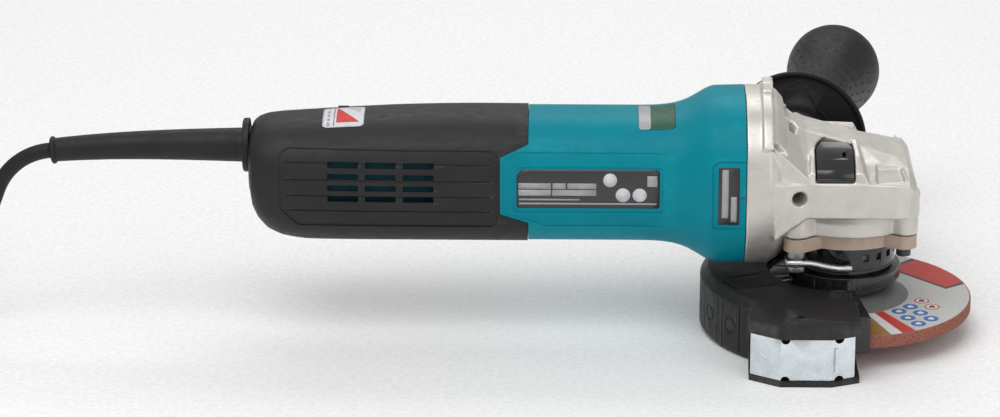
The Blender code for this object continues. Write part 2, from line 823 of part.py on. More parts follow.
def lock_outline(grow, depth):
    """Corners of the shaft-lock window or button: a barrel-shaped opening in the shoulder."""
    outline = (
        (-0.0164, 0.0786), (-0.0164, 0.0880), (-0.0140, 0.0903), (-0.0075, 0.0917),
        (-0.0010, 0.0903), (0.0014, 0.0880), (0.0014, 0.0786),
    )
    middle = Vector((-0.0075, 0.0850))
    points = []
    for x, z in outline:
        out = Vector((x, z)) - middle
        x, z = middle + out + out.normalized() * grow
        for y in depth:
            points.append((x, y, z))
    return points


def bearing_box():
    body = span("bearing_box", BOX_R, BOX_Z, BOX_TOP_Z, mat=CAST, steps=56)
    tabs = []
    for x, y in BOX_SCREWS + [LEVER_PIN]:
        outward = Vector((x, y)).normalized()
        inner = Vector((x, y)) - outward * 0.014
        tabs.append(
            tab(
                f"ear_{len(tabs)}", BOX_Z, BOX_TOP_Z, (x, y, 0.0062), (inner.x, inner.y, 0.0095),
                cutter=True,
            )
        )
    neck = turned(
        "neck",
        [
            (0.0, BOX_Z + 0.002),
            (NECK_R, BOX_Z + 0.002),
            (NECK_R, NECK_Z + 0.0008),
            (NECK_R - 0.0008, NECK_Z),
            (0.0, NECK_Z),
        ],
        None,
        cutter=True,
    )
    seat = bore("ball_seat", BALL_R + GAP, BALL_Z - GAP, 0.06, steps=40)
    way = bore("spindle_way", 0.0118, 0.020, 0.06, steps=32)
    relief = bore("neck_relief", 0.0150, 0.020, 0.0335, steps=32)
    screws = [
        bore(f"ear_hole_{k}", 0.0022, 0.035, 0.060, "Z", (x, y, 0), steps=12)
        for k, (x, y) in enumerate(BOX_SCREWS + [LEVER_PIN])
    ]
    join(body, tabs + [neck])
    return cut(body, [seat, way, relief] + screws)


def bearing(name, inner, outer, width, centre, axis, steps=32, x0=None):
    """A ball bearing as one ring, its shields set back between the races."""
    race = (outer - inner) * 0.24
    dip = width * 0.09
    half = width / 2
    profile = [
        (inner, -half),
        (inner + race, -half),
        (inner + race, -half + dip),
        (outer - race, -half + dip),
        (outer - race, -half),
        (outer, -half),
        (outer, half),
        (outer - race, half),
        (outer - race, half - dip),
        (inner + race, half - dip),
        (inner + race, half),
        (inner, half),
    ]
    return turned(name, profile, STEEL, axis, centre, steps)


# ---- gears ------------------------------------------------------------------------------------
def bevel_teeth(name, teeth, pitch_angle, first_tooth, face_from, face_to, hub):
    """A straight bevel gear about Z with its apex at the origin and its teeth towards +Z.

    Each tooth is a trapezium, drawn at two cone distances, and hub lists (radius, z) points that
    close the blank behind the teeth, from the large end to the small end.
    """
    module = 2 * GEAR_PITCH_R / GEAR_TEETH
    cone = GEAR_PITCH_R / math.sin(GEAR_ANGLE)
    rings = []
    for distance in (face_from, face_to):
        scale = distance / cone
        pitch_r = distance * math.sin(pitch_angle)
        pitch_z = -distance * math.cos(pitch_angle)
        up = Vector((math.cos(pitch_angle), math.sin(pitch_angle)))
        tooth_angle = 2 * math.pi / teeth
        ring = []
        for k in range(teeth):
            middle = first_tooth + k * tooth_angle
            for share, height in (
                (-ROOT_SHARE, -DEDENDUM),
                (-TIP_SHARE, ADDENDUM),
                (TIP_SHARE, ADDENDUM),
                (ROOT_SHARE, -DEDENDUM),
            ):
                radius = pitch_r + up.x * height * module * scale
                z = pitch_z + up.y * height * module * scale
                a = middle + share * tooth_angle
                ring.append((radius * math.cos(a), radius * math.sin(a), z))
        rings.append(ring)
    for radius, z in hub:
        ring = []
        for k in range(teeth):
            middle = first_tooth + k * 2 * math.pi / teeth
            for share in (-ROOT_SHARE, -TIP_SHARE, TIP_SHARE, ROOT_SHARE):
                a = middle + share * 2 * math.pi / teeth
                ring.append((radius * math.cos(a), radius * math.sin(a), z))
        rings.insert(0, ring)
    return loft(name, rings, STEEL)


GEAR_ANGLE = math.atan2(GEAR_TEETH, PINION_TEETH)
ADDENDUM, DEDENDUM = 0.78, 1.15  # in modules
CONE = GEAR_PITCH_R / math.sin(GEAR_ANGLE)
GEAR_BASE_Z = 0.0552  # underside of the ring gear


def ring_gear():
    base = GEAR_BASE_Z - MOTOR_Z
    gear = bevel_teeth(
        "ring_gear",
        GEAR_TEETH,
        GEAR_ANGLE,
        math.radians(180 + 180 / GEAR_TEETH),
        CONE,
        CONE - GEAR_FACE,
        [(GEAR_PITCH_R + 0.0006, base)],
    )
    gear.location = (0, 0, MOTOR_Z)
    hole = bore("gear_bore", SPINDLE_SEAT_R + GAP, 0.05, 0.08, steps=32)
    return cut(gear, [hole])


def pinion():
    gear = bevel_teeth(
        "pinion",
        PINION_TEETH,
        math.pi / 2 - GEAR_ANGLE,
        0.0,
        CONE,
        CONE - GEAR_FACE,
        [(0.0052, -CONE * 0.93 - 0.0035), (0.0052, -CONE * 0.93 - 0.0055)],
    )
    # local +Z points to world +X, and the tooth at local +X points down
    place(gear, (0, 0, MOTOR_Z), "X")
    hole = bore("pinion_bore", SHAFT_R - 0.0008 + GAP, -0.04, 0.0, "X", (0, 0, MOTOR_Z), steps=20)
    return cut(gear, [hole])


# ---- spindle group --------------------------------------------------------------------------------
def spindle():
    profile = [
        (0.0, 0.0),
        (SPINDLE_R - 0.001, 0.0),
        (SPINDLE_R, 0.001),
        (SPINDLE_R, 0.0235),
        (0.0098, 0.0240),
        (0.0098, 0.0330),
        (SPINDLE_SEAT_R + 0.0012, 0.0335),
        (SPINDLE_SEAT_R + 0.0012, BALL_Z - GAP),
        (SPINDLE_SEAT_R, BALL_Z - GAP),
        (SPINDLE_SEAT_R, 0.0695),
        (NEEDLE_IN_R + 0.0016, 0.0700),
        (NEEDLE_IN_R + 0.0016, 0.0765),
        (NEEDLE_IN_R - 0.0003, 0.0768),
        (NEEDLE_IN_R - 0.0003, SPINDLE_TOP_Z - 0.0006),
        (NEEDLE_IN_R - 0.0008, SPINDLE_TOP_Z),
        (0.0, SPINDLE_TOP_Z),
    ]
    body = turned("spindle", profile, STEEL, steps=32)
    slots = [
        box(
            "lock_slot_x",
            (-0.012, -PIN_R - RUN_GAP, LOCK_Z - PIN_R - RUN_GAP),
            (-0.0040, PIN_R + RUN_GAP, LOCK_Z + PIN_R + 0.0002),
            cutter=True,
        ),
        box(
            "lock_slot_x2",
            (0.0040, -PIN_R - RUN_GAP, LOCK_Z - PIN_R - RUN_GAP),
            (0.012, PIN_R + RUN_GAP, LOCK_Z + PIN_R + 0.0002),
            cutter=True,
        ),
        box(
            "lock_slot_y",
            (-PIN_R - RUN_GAP, -0.012, LOCK_Z - PIN_R - RUN_GAP),
            (PIN_R + RUN_GAP, -0.0040, LOCK_Z + PIN_R + 0.0002),
            cutter=True,
        ),
        box(
            "lock_slot_y2",
            (-PIN_R - RUN_GAP, 0.0040, LOCK_Z - PIN_R - RUN_GAP),
            (PIN_R + RUN_GAP, 0.012, LOCK_Z + PIN_R + 0.0002),
            cutter=True,
        ),
    ]
    return cut(body, [joined_cutter("lock_slots", slots)])


def inner_flange():
    top = 0.0233
    seat = WHEEL_Z + WHEEL_T + WHEEL_DISH + GAP
    profile = [
        (SPINDLE_R + GAP, top),
        (0.0150, top),
        (0.0225, top - 0.003),
        (0.0225, seat),
        (WHEEL_BORE_R - GAP, seat),
        (WHEEL_BORE_R - GAP, seat - 0.0022),
        (SPINDLE_R + GAP, seat - 0.0022),
    ]
    return turned("inner_flange", profile, DARK_STEEL, steps=48)


def grinding_wheel():
    low, high = WHEEL_Z, WHEEL_Z + WHEEL_T
    profile = [
        (WHEEL_BORE_R, low + WHEEL_DISH),
        (WHEEL_HUB_R - 0.001, low + WHEEL_DISH),
        (WHEEL_RIM_R - 0.002, low),
        (WHEEL_R, low),
        (WHEEL_R, high),
        (WHEEL_RIM_R, high),
        (WHEEL_HUB_R, high + WHEEL_DISH),
        (WHEEL_BORE_R, high + WHEEL_DISH),
    ]
    return turned("grinding_wheel", profile, ABRASIVE, steps=64)


def lock_nut():
    top = WHEEL_Z + WHEEL_DISH - GAP
    profile = [
        (SPINDLE_R + GAP, 0.0016),
        (0.0150, 0.0016),
        (0.0200, 0.0030),
        (0.0200, top),
        (SPINDLE_R + GAP, top),
    ]
    body = turned("lock_nut", profile, DARK_STEEL, steps=40)
    holes = [
        bore(
            f"wrench_hole_{k}",
            0.0024,
            -0.004,
            0.0050,
            "Z",
            (0.0145 * math.cos(a), 0.0145 * math.sin(a), 0),
            steps=12,
        )
        for k, a in enumerate(math.radians(90 * n + 45) for n in range(4))
    ]
    return cut(body, [joined_cutter("wrench_holes", holes)])


# ---- armature group -------------------------------------------------------------------------------
def armature_shaft():
    profile = [
        (0.0, -0.1700),
        (SHAFT_R - 0.0005, -0.1700),
        (SHAFT_R - 0.0005, -0.1608),
        (SHAFT_R + 0.0010, -0.1606),
        (SHAFT_R + 0.0010, -0.0640),
        (SHAFT_R, -0.0638),
        (SHAFT_R, -0.0262),
        (SHAFT_R - 0.0008, -0.0260),
        (SHAFT_R - 0.0008, -0.0125),
        (0.0, -0.0125),
    ]
    # the screw's own axis is local Z, which AXIS_TURN lays along world +X
    return turned("armature_shaft", profile, STEEL, "X", (0, 0, MOTOR_Z), 24)


def slotted_core():
    """The armature's lamination stack, with a slot between each pair of teeth."""
    bore = SHAFT_R + 0.0010 + GAP
    body = turned(
        "armature_core",
        [(bore, -0.1240), (ARM_R, -0.1240), (ARM_R, -0.0780), (bore, -0.0780)],
        DARK_STEEL,
        "X",
        (0, 0, MOTOR_Z),
        48,
    )
    slots = []
    for k in range(12):
        a = 2 * math.pi * k / 12
        slot = box(
            f"core_slot_{k}", (-0.13, -0.0011, ARM_R - 0.0035), (-0.07, 0.0011, ARM_R + 0.002), cutter=True
        )
        slot.matrix_world = Matrix.Translation(
            (0, 0, MOTOR_Z)
        ) @ Matrix.Rotation(a, 4, "X") @ slot.matrix_basis
        slots.append(slot)
    return cut(body, [joined_cutter("core_slots", slots)])


def winding(name, near, far, steps=32):
    """The end turns of the armature winding, a rounded copper ring between near and far."""
    low, high = min(near, far), max(near, far)
    bore = SHAFT_R + 0.0010 + GAP
    outer = ARM_R - 0.0014
    bulge = 0.0022
    profile = [
        (bore, low), (outer - bulge, low), (outer, low + bulge), (outer, high - bulge),
        (outer - bulge, high), (bore, high),
    ]
    return turned(name, profile, COPPER, "X", (0, 0, MOTOR_Z), steps)


def commutator():
    bore = SHAFT_R + 0.0010 + GAP
    low, high = -0.1548, -0.1392
    profile = [
        (bore, low), (0.0124, low), (0.0124, high - 0.0022), (0.0142, high - 0.0018),
        (0.0142, high), (bore, high),
    ]
    return turned("commutator", profile, COPPER, "X", (0, 0, MOTOR_Z), 36)


def fan():
    """A radial fan: a back plate, a hub and curved blades."""
    plate_x = -0.0600
    body = turned(
        "fan",
        [
            (SHAFT_R + GAP, plate_x),
            (FAN_R, plate_x),
            (FAN_R, plate_x + 0.0016),
            (0.0105, plate_x + 0.0024),
            (0.0085, plate_x + 0.0130),
            (SHAFT_R + GAP, plate_x + 0.0130),
        ],
        BLACK,
        "X",
        (0, 0, MOTOR_Z),
        40,
    )
    blades = []
    for k in range(11):
        a = 2 * math.pi * k / 11
        blade = box(
            f"blade_{k}",
            (plate_x + 0.001, -0.0007, 0.0125),
            (plate_x + 0.0095, 0.0007, FAN_R - 0.001),
            cutter=True,
        )
        tilt = Matrix.Translation((0, 0, 0.0125)) @ Matrix.Rotation(
            math.radians(28), 4, "X"
        ) @ Matrix.Translation((0, 0, -0.0125))
        blade.matrix_world = Matrix.Translation(
            (0, 0, MOTOR_Z)
        ) @ Matrix.Rotation(a, 4, "X") @ tilt @ blade.matrix_basis
        blades.append(blade)
    rim = span(
        "fan_rim", FAN_R, plate_x - 0.01, plate_x + 0.03, "X", (0, 0, MOTOR_Z), cutter=True, steps=40
    )
    blades = joined_cutter("fan_blades", blades)
    keep_inside(blades, [rim])
    return join(body, [blades])


def stator_core():
    low, high = -0.1255, -0.0765
    body = loft("stator_core", [section(x, MOTOR_Z, STATOR_R, STATOR_R) for x in (low, high)], DARK_STEEL)
    hole = bore("stator_bore", ARM_R + 0.0006, low - 0.01, high + 0.01, "X", (0, 0, MOTOR_Z), steps=40)
    windows = [
        box(
            f"coil_window_{k}",
            (low - 0.01, -0.0165, MOTOR_Z + side * 0.0195 - 0.0040),
            (high + 0.01, 0.0165, MOTOR_Z + side * 0.0195 + 0.0040),
            cutter=True,
        )
        for k, side in enumerate((-1, 1))
    ]
    return cut(body, [hole] + windows)


def field_coil(name, side):
    """One of the two field windings: a racetrack bent round its pole."""
    z = MOTOR_Z + side * 0.0195
    outer = box(name, (-0.1355, -0.0160, z - 0.0033), (-0.0665, 0.0160, z + 0.0033), COPPER, bevel=0.0015)
    window = box(f"{name}_window", (-0.1275, -0.0085, z - 0.01), (-0.0745, 0.0085, z + 0.01), cutter=True)
    hole = bore(f"{name}_bore", ARM_R + 0.0008, -0.15, -0.05, "X", (0, 0, MOTOR_Z), steps=40)
    return cut(outer, [window, hole])


def baffle_plate():
    """The air guide between stator and fan, clamped in the flare of the motor housing."""
    low, high = -0.0664, -0.0644
    radius = 0.0372
    return turned(
        "baffle_plate",
        [(0.0190, low), (radius, low), (radius, high), (0.0190, high)],
        BLACK,
        "X",
        (0, 0, MOTOR_Z),
        48,
    )


# ---- brushes and electrics --------------------------------------------------------------------------


def brush_holder(name, side):
    wall = 0.0009
    reach = BRUSH_HALF + GAP + wall
    low, high = sorted((side * (BRUSH_TIP_Y + 0.0028), side * HOLDER_END))
    body = box(
        name, (BRUSH_X - reach, low, MOTOR_Z - reach), (BRUSH_X + reach, high, MOTOR_Z + reach), BRASS
    )
    inner = BRUSH_HALF + GAP
    tunnel_low, tunnel_high = sorted((side * BRUSH_TIP_Y * 0.9, side * (HOLDER_END - 0.001)))
    way = box(
        f"{name}_way",
        (BRUSH_X - inner, tunnel_low, MOTOR_Z - inner),
        (BRUSH_X + inner, tunnel_high, MOTOR_Z + inner),
        cutter=True,
    )
    return cut(body, [way])


def carbon_brush(name, side):
    low, high = sorted((side * BRUSH_TIP_Y, side * (BRUSH_TIP_Y + BRUSH_LONG)))
    return box(
        name,
        (BRUSH_X - BRUSH_HALF, low, MOTOR_Z - BRUSH_HALF),
        (BRUSH_X + BRUSH_HALF, high, MOTOR_Z + BRUSH_HALF),
        CARBON,
        bevel=0.0004,
    )


def switch_module():
    z = MOTOR_Z - 0.0126
    body = box("switch_module", (-0.232, -0.010, z), (-0.206, 0.010, z + 0.019), BLACK, bevel=0.001)
    toe = box("switch_toe", (-0.207, -0.004, z + 0.006), (-0.2025, 0.004, z + 0.013), cutter=True)
    return join(body, [toe])


def speed_controller():
    z = MOTOR_Z - 0.0126
    return box(
        "speed_controller", (-0.2000, -0.0165, z), (-0.1755, 0.0165, z + 0.016), RUBBER, bevel=0.0012
    )


def cord_clamp():
    """The saddle that grips the cord inside the rear cover, with its own stub under it."""
    z = BOOT_Z
    body = box(
        "cord_clamp", (-0.2720, -0.0125, z - 0.0085), (-0.2640, 0.0125, z + 0.0085), BLACK, bevel=0.0012
    )
    way = bore("clamp_way", 0.0041, -0.29, -0.25, "X", (0, 0, z), steps=20)
    return cut(body, [way])


def dial_centre():
    turn = math.radians(DIAL_TURN)
    reach = DIAL_SURFACE_R + DIAL_PROUD - DIAL_R
    return (DIAL_X, reach * math.sin(turn), MOTOR_Z + reach * math.cos(turn))


def speed_dial():
    """A ribbed thumb wheel that stands a little proud of the rear cover."""
    centre = dial_centre()
    body = turned(
        "speed_dial",
        [
            (0.0, -DIAL_T / 2),
            (DIAL_R - 0.0006, -DIAL_T / 2),
            (DIAL_R, -DIAL_T / 2 + 0.0006),
            (DIAL_R, DIAL_T / 2 - 0.0006),
            (DIAL_R - 0.0006, DIAL_T / 2),
            (0.0, DIAL_T / 2),
        ],
        BLACK,
        "X",
        centre,
        36,
    )
    ribs = []
    for k in range(12):
        a = 2 * math.pi * k / 12
        spot = (
            DIAL_X, centre[1] + (DIAL_R + 0.0001) * math.sin(a), centre[2] + (DIAL_R + 0.0001) * math.cos(a)
        )
        ribs.append(cylinder(f"dial_rib_{k}", 0.0005, DIAL_T * 2, spot, "X", steps=6, cutter=True))
    return cut(body, [joined_cutter("dial_ribs", ribs)])


def switch_slider():
    """The slide switch's knob on the barrel, with the tab that reaches through the wall."""
    y = BARREL_R
    knob = box(
        "switch_slider",
        (SWITCH_X - 0.0115, y - 0.0000 + RUN_GAP, MOTOR_Z - 0.0075),
        (SWITCH_X + 0.0115, y + 0.0042, MOTOR_Z + 0.0075),
        BLACK,
        bevel=0.0014,
    )
    grooves = [
        box(
            f"slider_groove_{k}",
            (SWITCH_X - 0.0066 + 0.0032 * k, y + 0.0034, MOTOR_Z - 0.0058),
            (SWITCH_X - 0.0056 + 0.0032 * k, y + 0.006, MOTOR_Z + 0.0058),
            cutter=True,
        )
        for k in range(5)
    ]
    stem = box(
        "slider_stem",
        (SWITCH_X - 0.0080, y - 0.0034, MOTOR_Z - 0.0030),
        (SWITCH_X + 0.0080, y + 0.002, MOTOR_Z + 0.0030),
        cutter=True,
    )
    join(knob, [stem])
    return cut(knob, [joined_cutter("slider_grooves", grooves)])


# ---- shaft lock -----------------------------------------------------------------------------------
def shaft_lock():
    """The lock button in the right shoulder, with the pin that reaches the spindle."""
    body = hull("shaft_lock_button", lock_outline(-0.0001, (-0.0380, -0.0168)), BLACK)
    face = (
        (-0.0368, 0.0760), (-0.0366, 0.0806), (-0.0345, 0.0840), (-0.0290, 0.0874),
        (-0.0220, 0.0902), (-0.0168, 0.0918), (-0.0120, 0.0918), (-0.0120, 0.0760),
    )
    keep_inside(body, [hull("lock_face", [(x, y, z) for x in (-0.03, 0.02) for y, z in face], cutter=True)])
    pin = span("lock_pin", PIN_R, -0.0240, -0.0085, "Y", (0, 0, LOCK_Z), cutter=True, steps=16)
    bridge = hull(
        "lock_bridge",
        [
            (x, y, z)
            for y in (-0.0245, -0.0210)
            for x, z in (
                (-0.0020, LOCK_Z - 0.0020), (0.0018, LOCK_Z - 0.0020), (-0.0060, 0.0810), (0.0004, 0.0810)
            )
        ],
        cutter=True,
    )
    return join(body, [bridge, pin])


# ---- guard ----------------------------------------------------------------------------------------
def guard_sector(low, high, radius=0.09, steps=18, start=GUARD_FROM, stop=GUARD_TO):
    """A wedge of the space round the spindle, from z low to high, over the guard's own angle."""
    rings = []
    for z in (low, high):
        ring = [(0.0, 0.0, z)]
        for k in range(steps + 1):
            a = math.radians(start + (stop - start) * k / steps)
            ring.append((radius * math.cos(a), radius * math.sin(a), z))
        rings.append(ring)
    return loft("guard_sector", rings, cutter=True)


def wheel_guard():
    """The steel guard: a pressed half pan on a full ring that fits round the neck."""
    ring = turned(
        "wheel_guard",
        [
            (NECK_R + 0.0006, 0.0262),
            (NECK_R + 0.0006, 0.0395),
            (BAND_R - 0.0012, 0.0395),
            (BAND_R - 0.0012, LIP_Z + 0.0012),
            (LIP_R, LIP_Z + 0.0005),
            (LIP_R, GUARD_TOP_Z - 0.0005),
            (LIP_R - SHEET, GUARD_TOP_Z - 0.0005),
            (LIP_R - SHEET, 0.0250),
        ],
        DARK_STEEL,
        steps=56,
    )
    pan = turned(
        "guard_pan",
        [
            (LIP_R - SHEET * 0.8, GUARD_TOP_Z),
            (GUARD_R - 0.002, GUARD_TOP_Z),
            (GUARD_R, GUARD_TOP_Z - 0.002),
            (GUARD_R, GUARD_LOW_Z),
            (GUARD_R - SHEET, GUARD_LOW_Z),
            (GUARD_R - SHEET, GUARD_TOP_Z - SHEET - 0.0015),
            (GUARD_R - 0.0035, GUARD_TOP_Z - SHEET),
            (LIP_R - SHEET * 0.8, GUARD_TOP_Z - SHEET),
        ],
        None,
        cutter=True,
        steps=56,
    )
    keep_inside(pan, [guard_sector(-0.02, 0.06)])
    holes = []
    for k in range(BAND_HOLES):
        a = math.radians(-68 + 17.0 * k)
        hole = box(
            f"band_hole_{k}",
            (NECK_R - 0.0012, -0.0019, 0.0335),
            (BAND_R + 0.004, 0.0019, 0.0369),
            cutter=True,
        )
        hole.matrix_world = Matrix.Rotation(a, 4, "Z") @ hole.matrix_basis
        holes.append(hole)
    join(ring, [pan])
    return cut(ring, [joined_cutter("band_holes", holes)])


def clamp_band():
    """The steel band that the lever draws tight round the guard's ring."""
    inner = BAND_R - 0.0012 + GAP
    low, high = 0.0290, 0.0415
    band = turned(
        "clamp_band",
        [(inner, low), (inner + 0.0012, low), (inner + 0.0012, high), (inner, high)],
        DARK_STEEL,
        steps=56,
    )
    return band


def cover_box(name, low, high, grow=0.0, cutter=True, mat=None):
    """The squared-off corner of the clip-on cover, which holds the steel plate."""
    points = []
    for x, y in BOX_CORNERS:
        out = Vector((x + 0.02, y + 0.045)).normalized() * grow
        for z in (low, high):
            points.append((x + out.x, y + out.y, z))
    return hull(name, points, mat, cutter)


def cutting_cover():
    """The clip-on cover that makes a cutting guard of the grinding guard: a C-section round it."""
    top, low = COVER_TOP_Z, COVER_LOW_Z
    body = turned(
        "cutting_cover",
        [
            (0.030, low), (COVER_R - 0.002, low), (COVER_R, low + 0.002), (COVER_R, top - 0.002),
            (COVER_R - 0.002, top), (0.030, top),
        ],
        BLACK,
        steps=72,
    )
    keep_inside(body, [guard_sector(-0.03, 0.05, start=GUARD_FROM - 2, stop=GUARD_TO - 6)])
    join(body, [cover_box("cover_corner", low, top)])
    inside = turned(
        "cover_inside",
        [
            (0.020, low + COVER_T),
            (COVER_R - COVER_T, low + COVER_T),
            (COVER_R - COVER_T, top - COVER_T),
            (0.020, top - COVER_T),
        ],
        None,
        cutter=True,
        steps=72,
    )
    corner_inside = cover_box("corner_inside", low + COVER_T, top - COVER_T, grow=-COVER_T - 0.0004)
    top_opening = turned(
        "cover_top_opening",
        [(0.0, 0.010), (COVER_IN_R, 0.010), (COVER_IN_R, 0.04), (0.0, 0.04)],
        None,
        cutter=True,
        steps=56,
    )
    low_opening = turned(
        "cover_low_opening",
        [(0.0, -0.02), (COVER_UNDER_R, -0.02), (COVER_UNDER_R, 0.010), (0.0, 0.010)],
        None,
        cutter=True,
        steps=56,
    )
    clip = clip_slots()
    return cut(body, [inside, corner_inside, top_opening, low_opening] + clip)


def clip_slots():
    """The U-shaped slot that frees a spring clip in the cover's top, and the hole beside it."""
    a = math.radians(207)
    turn = Matrix.Rotation(a, 4, "Z")
    slots = [
        box("clip_slot_a", (0.0430, -0.0088, 0.015), (0.0640, -0.0076, 0.03), cutter=True),
        box("clip_slot_b", (0.0430, 0.0076, 0.015), (0.0640, 0.0088, 0.03), cutter=True),
        box("clip_slot_c", (0.0630, -0.0088, 0.015), (0.0642, 0.0088, 0.03), cutter=True),
    ]
    for slot in slots:
        slot.matrix_world = turn @ slot.matrix_basis
    hole = bore("cover_hole", 0.0016, 0.015, 0.03, "Z", (-0.0244, -0.0716, 0), steps=12)
    plate_window = hull(
        "plate_window",
        [
            (x, y, z)
            for z in (COVER_LOW_Z + 0.0026, COVER_TOP_Z - 0.0066)
            for x, y in (
                (-0.0400, -0.0600), (-0.0510, -0.0730), (-0.0510, -0.0900), (-0.0100, -0.1000),
                (0.0100, -0.0960), (0.0100, -0.0550),
            )
        ],
        cutter=True,
    )
    return slots + [hole, plate_window]


def guard_plate():
    """The bent steel plate that closes the corner of the clip-on cover."""
    outer = cover_box(
        "guard_plate", COVER_LOW_Z + 0.0029, COVER_TOP_Z - 0.0069, grow=-0.0009, cutter=False, mat=ZINC
    )
    inner = cover_box("plate_inside", -0.03, 0.04, grow=-0.0023)
    back = box("plate_back", (-0.044, -0.0640, -0.03), (0.02, -0.03, 0.04), cutter=True)
    side = box("plate_side", (0.0010, -0.10, -0.03), (0.03, -0.03, 0.04), cutter=True)
    left = box("plate_left", (-0.08, -0.0742, -0.03), (-0.0440, -0.03, 0.04), cutter=True)
    notches = [
        bore(f"plate_notch_{k}", 0.0022, -0.12, -0.06, "Y", (x, 0, z), steps=12)
        for k, (x, z) in enumerate(
            (x, z)
            for x in (-0.0320, -0.0065)
            for z in (COVER_LOW_Z + 0.0029, COVER_TOP_Z - 0.0069)
        )
    ]
    return cut(outer, [inner, back, side, left, joined_cutter("plate_notches", notches)])


def guard_lever():
    """The quick-release lever: an eye on its pin and a bent arm along the band."""
    x, y = LEVER_PIN
    body = turned(
        "guard_lever",
        [(0.0029, -0.0016), (0.0058, -0.0016), (0.0058, 0.0016), (0.0029, 0.0016)],
        ZINC,
        "Z",
        (x, y, LEVER_Z),
        24,
    )
    path = [
        (x - 0.004, y - 0.0040, LEVER_Z),
        (x + 0.002, y - 0.0045, LEVER_Z),
        (x + 0.0090, y - 0.0030, LEVER_Z - 0.0008),
        (x + 0.0160, y - 0.0010, LEVER_Z - 0.0030),
        (x + 0.0230, y + 0.0006, LEVER_Z - 0.0042),
        (x + 0.0272, y + 0.0008, LEVER_Z - 0.0040),
    ]
    arm = as_mesh(tube("lever_arm", path, 0.0018, ZINC, sides=2))
    finish(arm, None, cutter=True)
    hole = bore("lever_bore", 0.0029, 0.02, 0.05, "Z", (x, y, 0), steps=20)
    join(body, [arm])
    return cut(body, [hole])


def screw(name, x, y, head_top, head_h, head_r, shank_r, shank_top, socket=True):
    """A socket screw that points up: its head below, its shank above."""
    profile = [
        (0.0, head_top - head_h),
        (head_r - 0.0004, head_top - head_h),
        (head_r, head_top - head_h + 0.0004),
        (head_r, head_top),
        (shank_r, head_top),
        (shank_r, shank_top),
        (0.0, shank_top),
    ]
    body = turned(name, profile, DARK_STEEL, "Z", (x, y, 0), 20)
    if socket:
        key = cylinder(f"{name}_socket", 0.0021, 0.004, (x, y, head_top - head_h), steps=6, cutter=True)
        cut(body, [key])
    return body


def cover_screw():
    """The screw under the rear cover, which holds it to the motor housing's chassis."""
    profile = [
        (0.0, MOTOR_Z - 0.0323),
        (0.0030, MOTOR_Z - 0.0323),
        (0.0030, MOTOR_Z - 0.0314),
        (0.0014, MOTOR_Z - 0.0314),
        (0.0014, MOTOR_Z - 0.0131),
        (0.0, MOTOR_Z - 0.0131),
    ]
    return turned("cover_screw", profile, STEEL, "Z", (COVER_SCREW_X, 0, 0), 24)


def lever_pin():
    """The shouldered screw that the lever turns on, in the rear ear of the bearing box."""
    x, y = LEVER_PIN
    profile = [
        (0.0, 0.0315),
        (0.0042, 0.0315),
        (0.0046, 0.0320),
        (0.0046, LEVER_Z - 0.0016 - GAP),
        (0.0025, LEVER_Z - 0.0016 - GAP),
        (0.0025, LEVER_Z + 0.0016 + GAP),
        (0.0046, LEVER_Z + 0.0016 + GAP),
        (0.0046, BOX_Z - GAP),
        (0.0018, BOX_Z - GAP),
        (0.0018, 0.0580),
        (0.0, 0.0580),
    ]
    return turned("lever_pin", profile, STEEL, "Z", (x, y, 0), 20)


# ---- side handle --------------------------------------------------------------------------------
def grip_frame(distance):
    """A matrix that puts local +Z along the side handle, this far out from the gear housing's flank."""
    direction = grip_direction(1)
    start = Vector((HANDLE_X, SIDE_Y, HANDLE_Z)) - direction * SEAT_DEPTH
    return Matrix.Translation(
        start + direction * distance
    ) @ direction.to_track_quat("Z", "Y").to_matrix().to_4x4()


def side_grip():
    """The moulded grip with its hand flange, hollow at the housing end for the stud."""
    profile = [
        (0.0, GRIP_LONG),
        (0.0110, GRIP_LONG),
        (0.0190, GRIP_LONG - 0.0022),
        (0.0232, GRIP_LONG - 0.0075),
        (0.0241, GRIP_LONG - 0.0150),
        (0.0225, GRIP_LONG - 0.0270),
        (0.0190, GRIP_LONG - 0.0450),
        (0.0170, GRIP_LONG - 0.0650),
        (0.0166, GRIP_LONG - 0.0820),
        (0.0176, GRIP_LONG - 0.1000),
        (0.0200, GRIP_LONG - 0.1160),
        (0.0222, GRIP_FLANGE + 0.0065),
        (0.0300, GRIP_FLANGE + 0.0045),
        (0.0338, GRIP_FLANGE + 0.0030),
        (0.0342, GRIP_FLANGE + 0.0012),
        (0.0335, GRIP_FLANGE),
        (0.0318, GRIP_FLANGE + 0.0004),
        (0.0240, GRIP_FLANGE + 0.0020),
        (0.0175, GRIP_FLANGE + 0.0020),
        (0.0175, GRIP_FLANGE - 0.0110),
        (0.0165, GRIP_FLANGE - 0.0120),
        (STUD_R + 0.0003, GRIP_FLANGE - 0.0120),
        (STUD_R + 0.0003, GRIP_FLANGE + 0.0180),
        (0.0072, GRIP_FLANGE + 0.0180),
        (0.0072, GRIP_FLANGE + 0.0260),
        (0.0, GRIP_FLANGE + 0.0260),
    ]
    return turned("side_grip", profile, RUBBER, centre=(0, 0, 0), steps=48, turn=grip_frame(0.0))


def side_stud():
    """The steel stud of the side handle: thread, collar and the head moulded into the grip."""
    start = grip_frame(0.0)
    profile = [
        (0.0, -0.0100),
        (STUD_R - 0.0008, -0.0100),
        (STUD_R, -0.0090),
        (STUD_R, GAP),
        (0.0088, GAP),
        (0.0088, GRIP_FLANGE - 0.0120 - GAP),
        (STUD_R, GRIP_FLANGE - 0.0120 - GAP),
        (STUD_R, GRIP_FLANGE + 0.0183),
        (0.0066, GRIP_FLANGE + 0.0183),
        (0.0066, GRIP_FLANGE + 0.0252),
        (0.0, GRIP_FLANGE + 0.0252),
    ]
    return turned("side_stud", profile, STEEL, steps=24, turn=start)


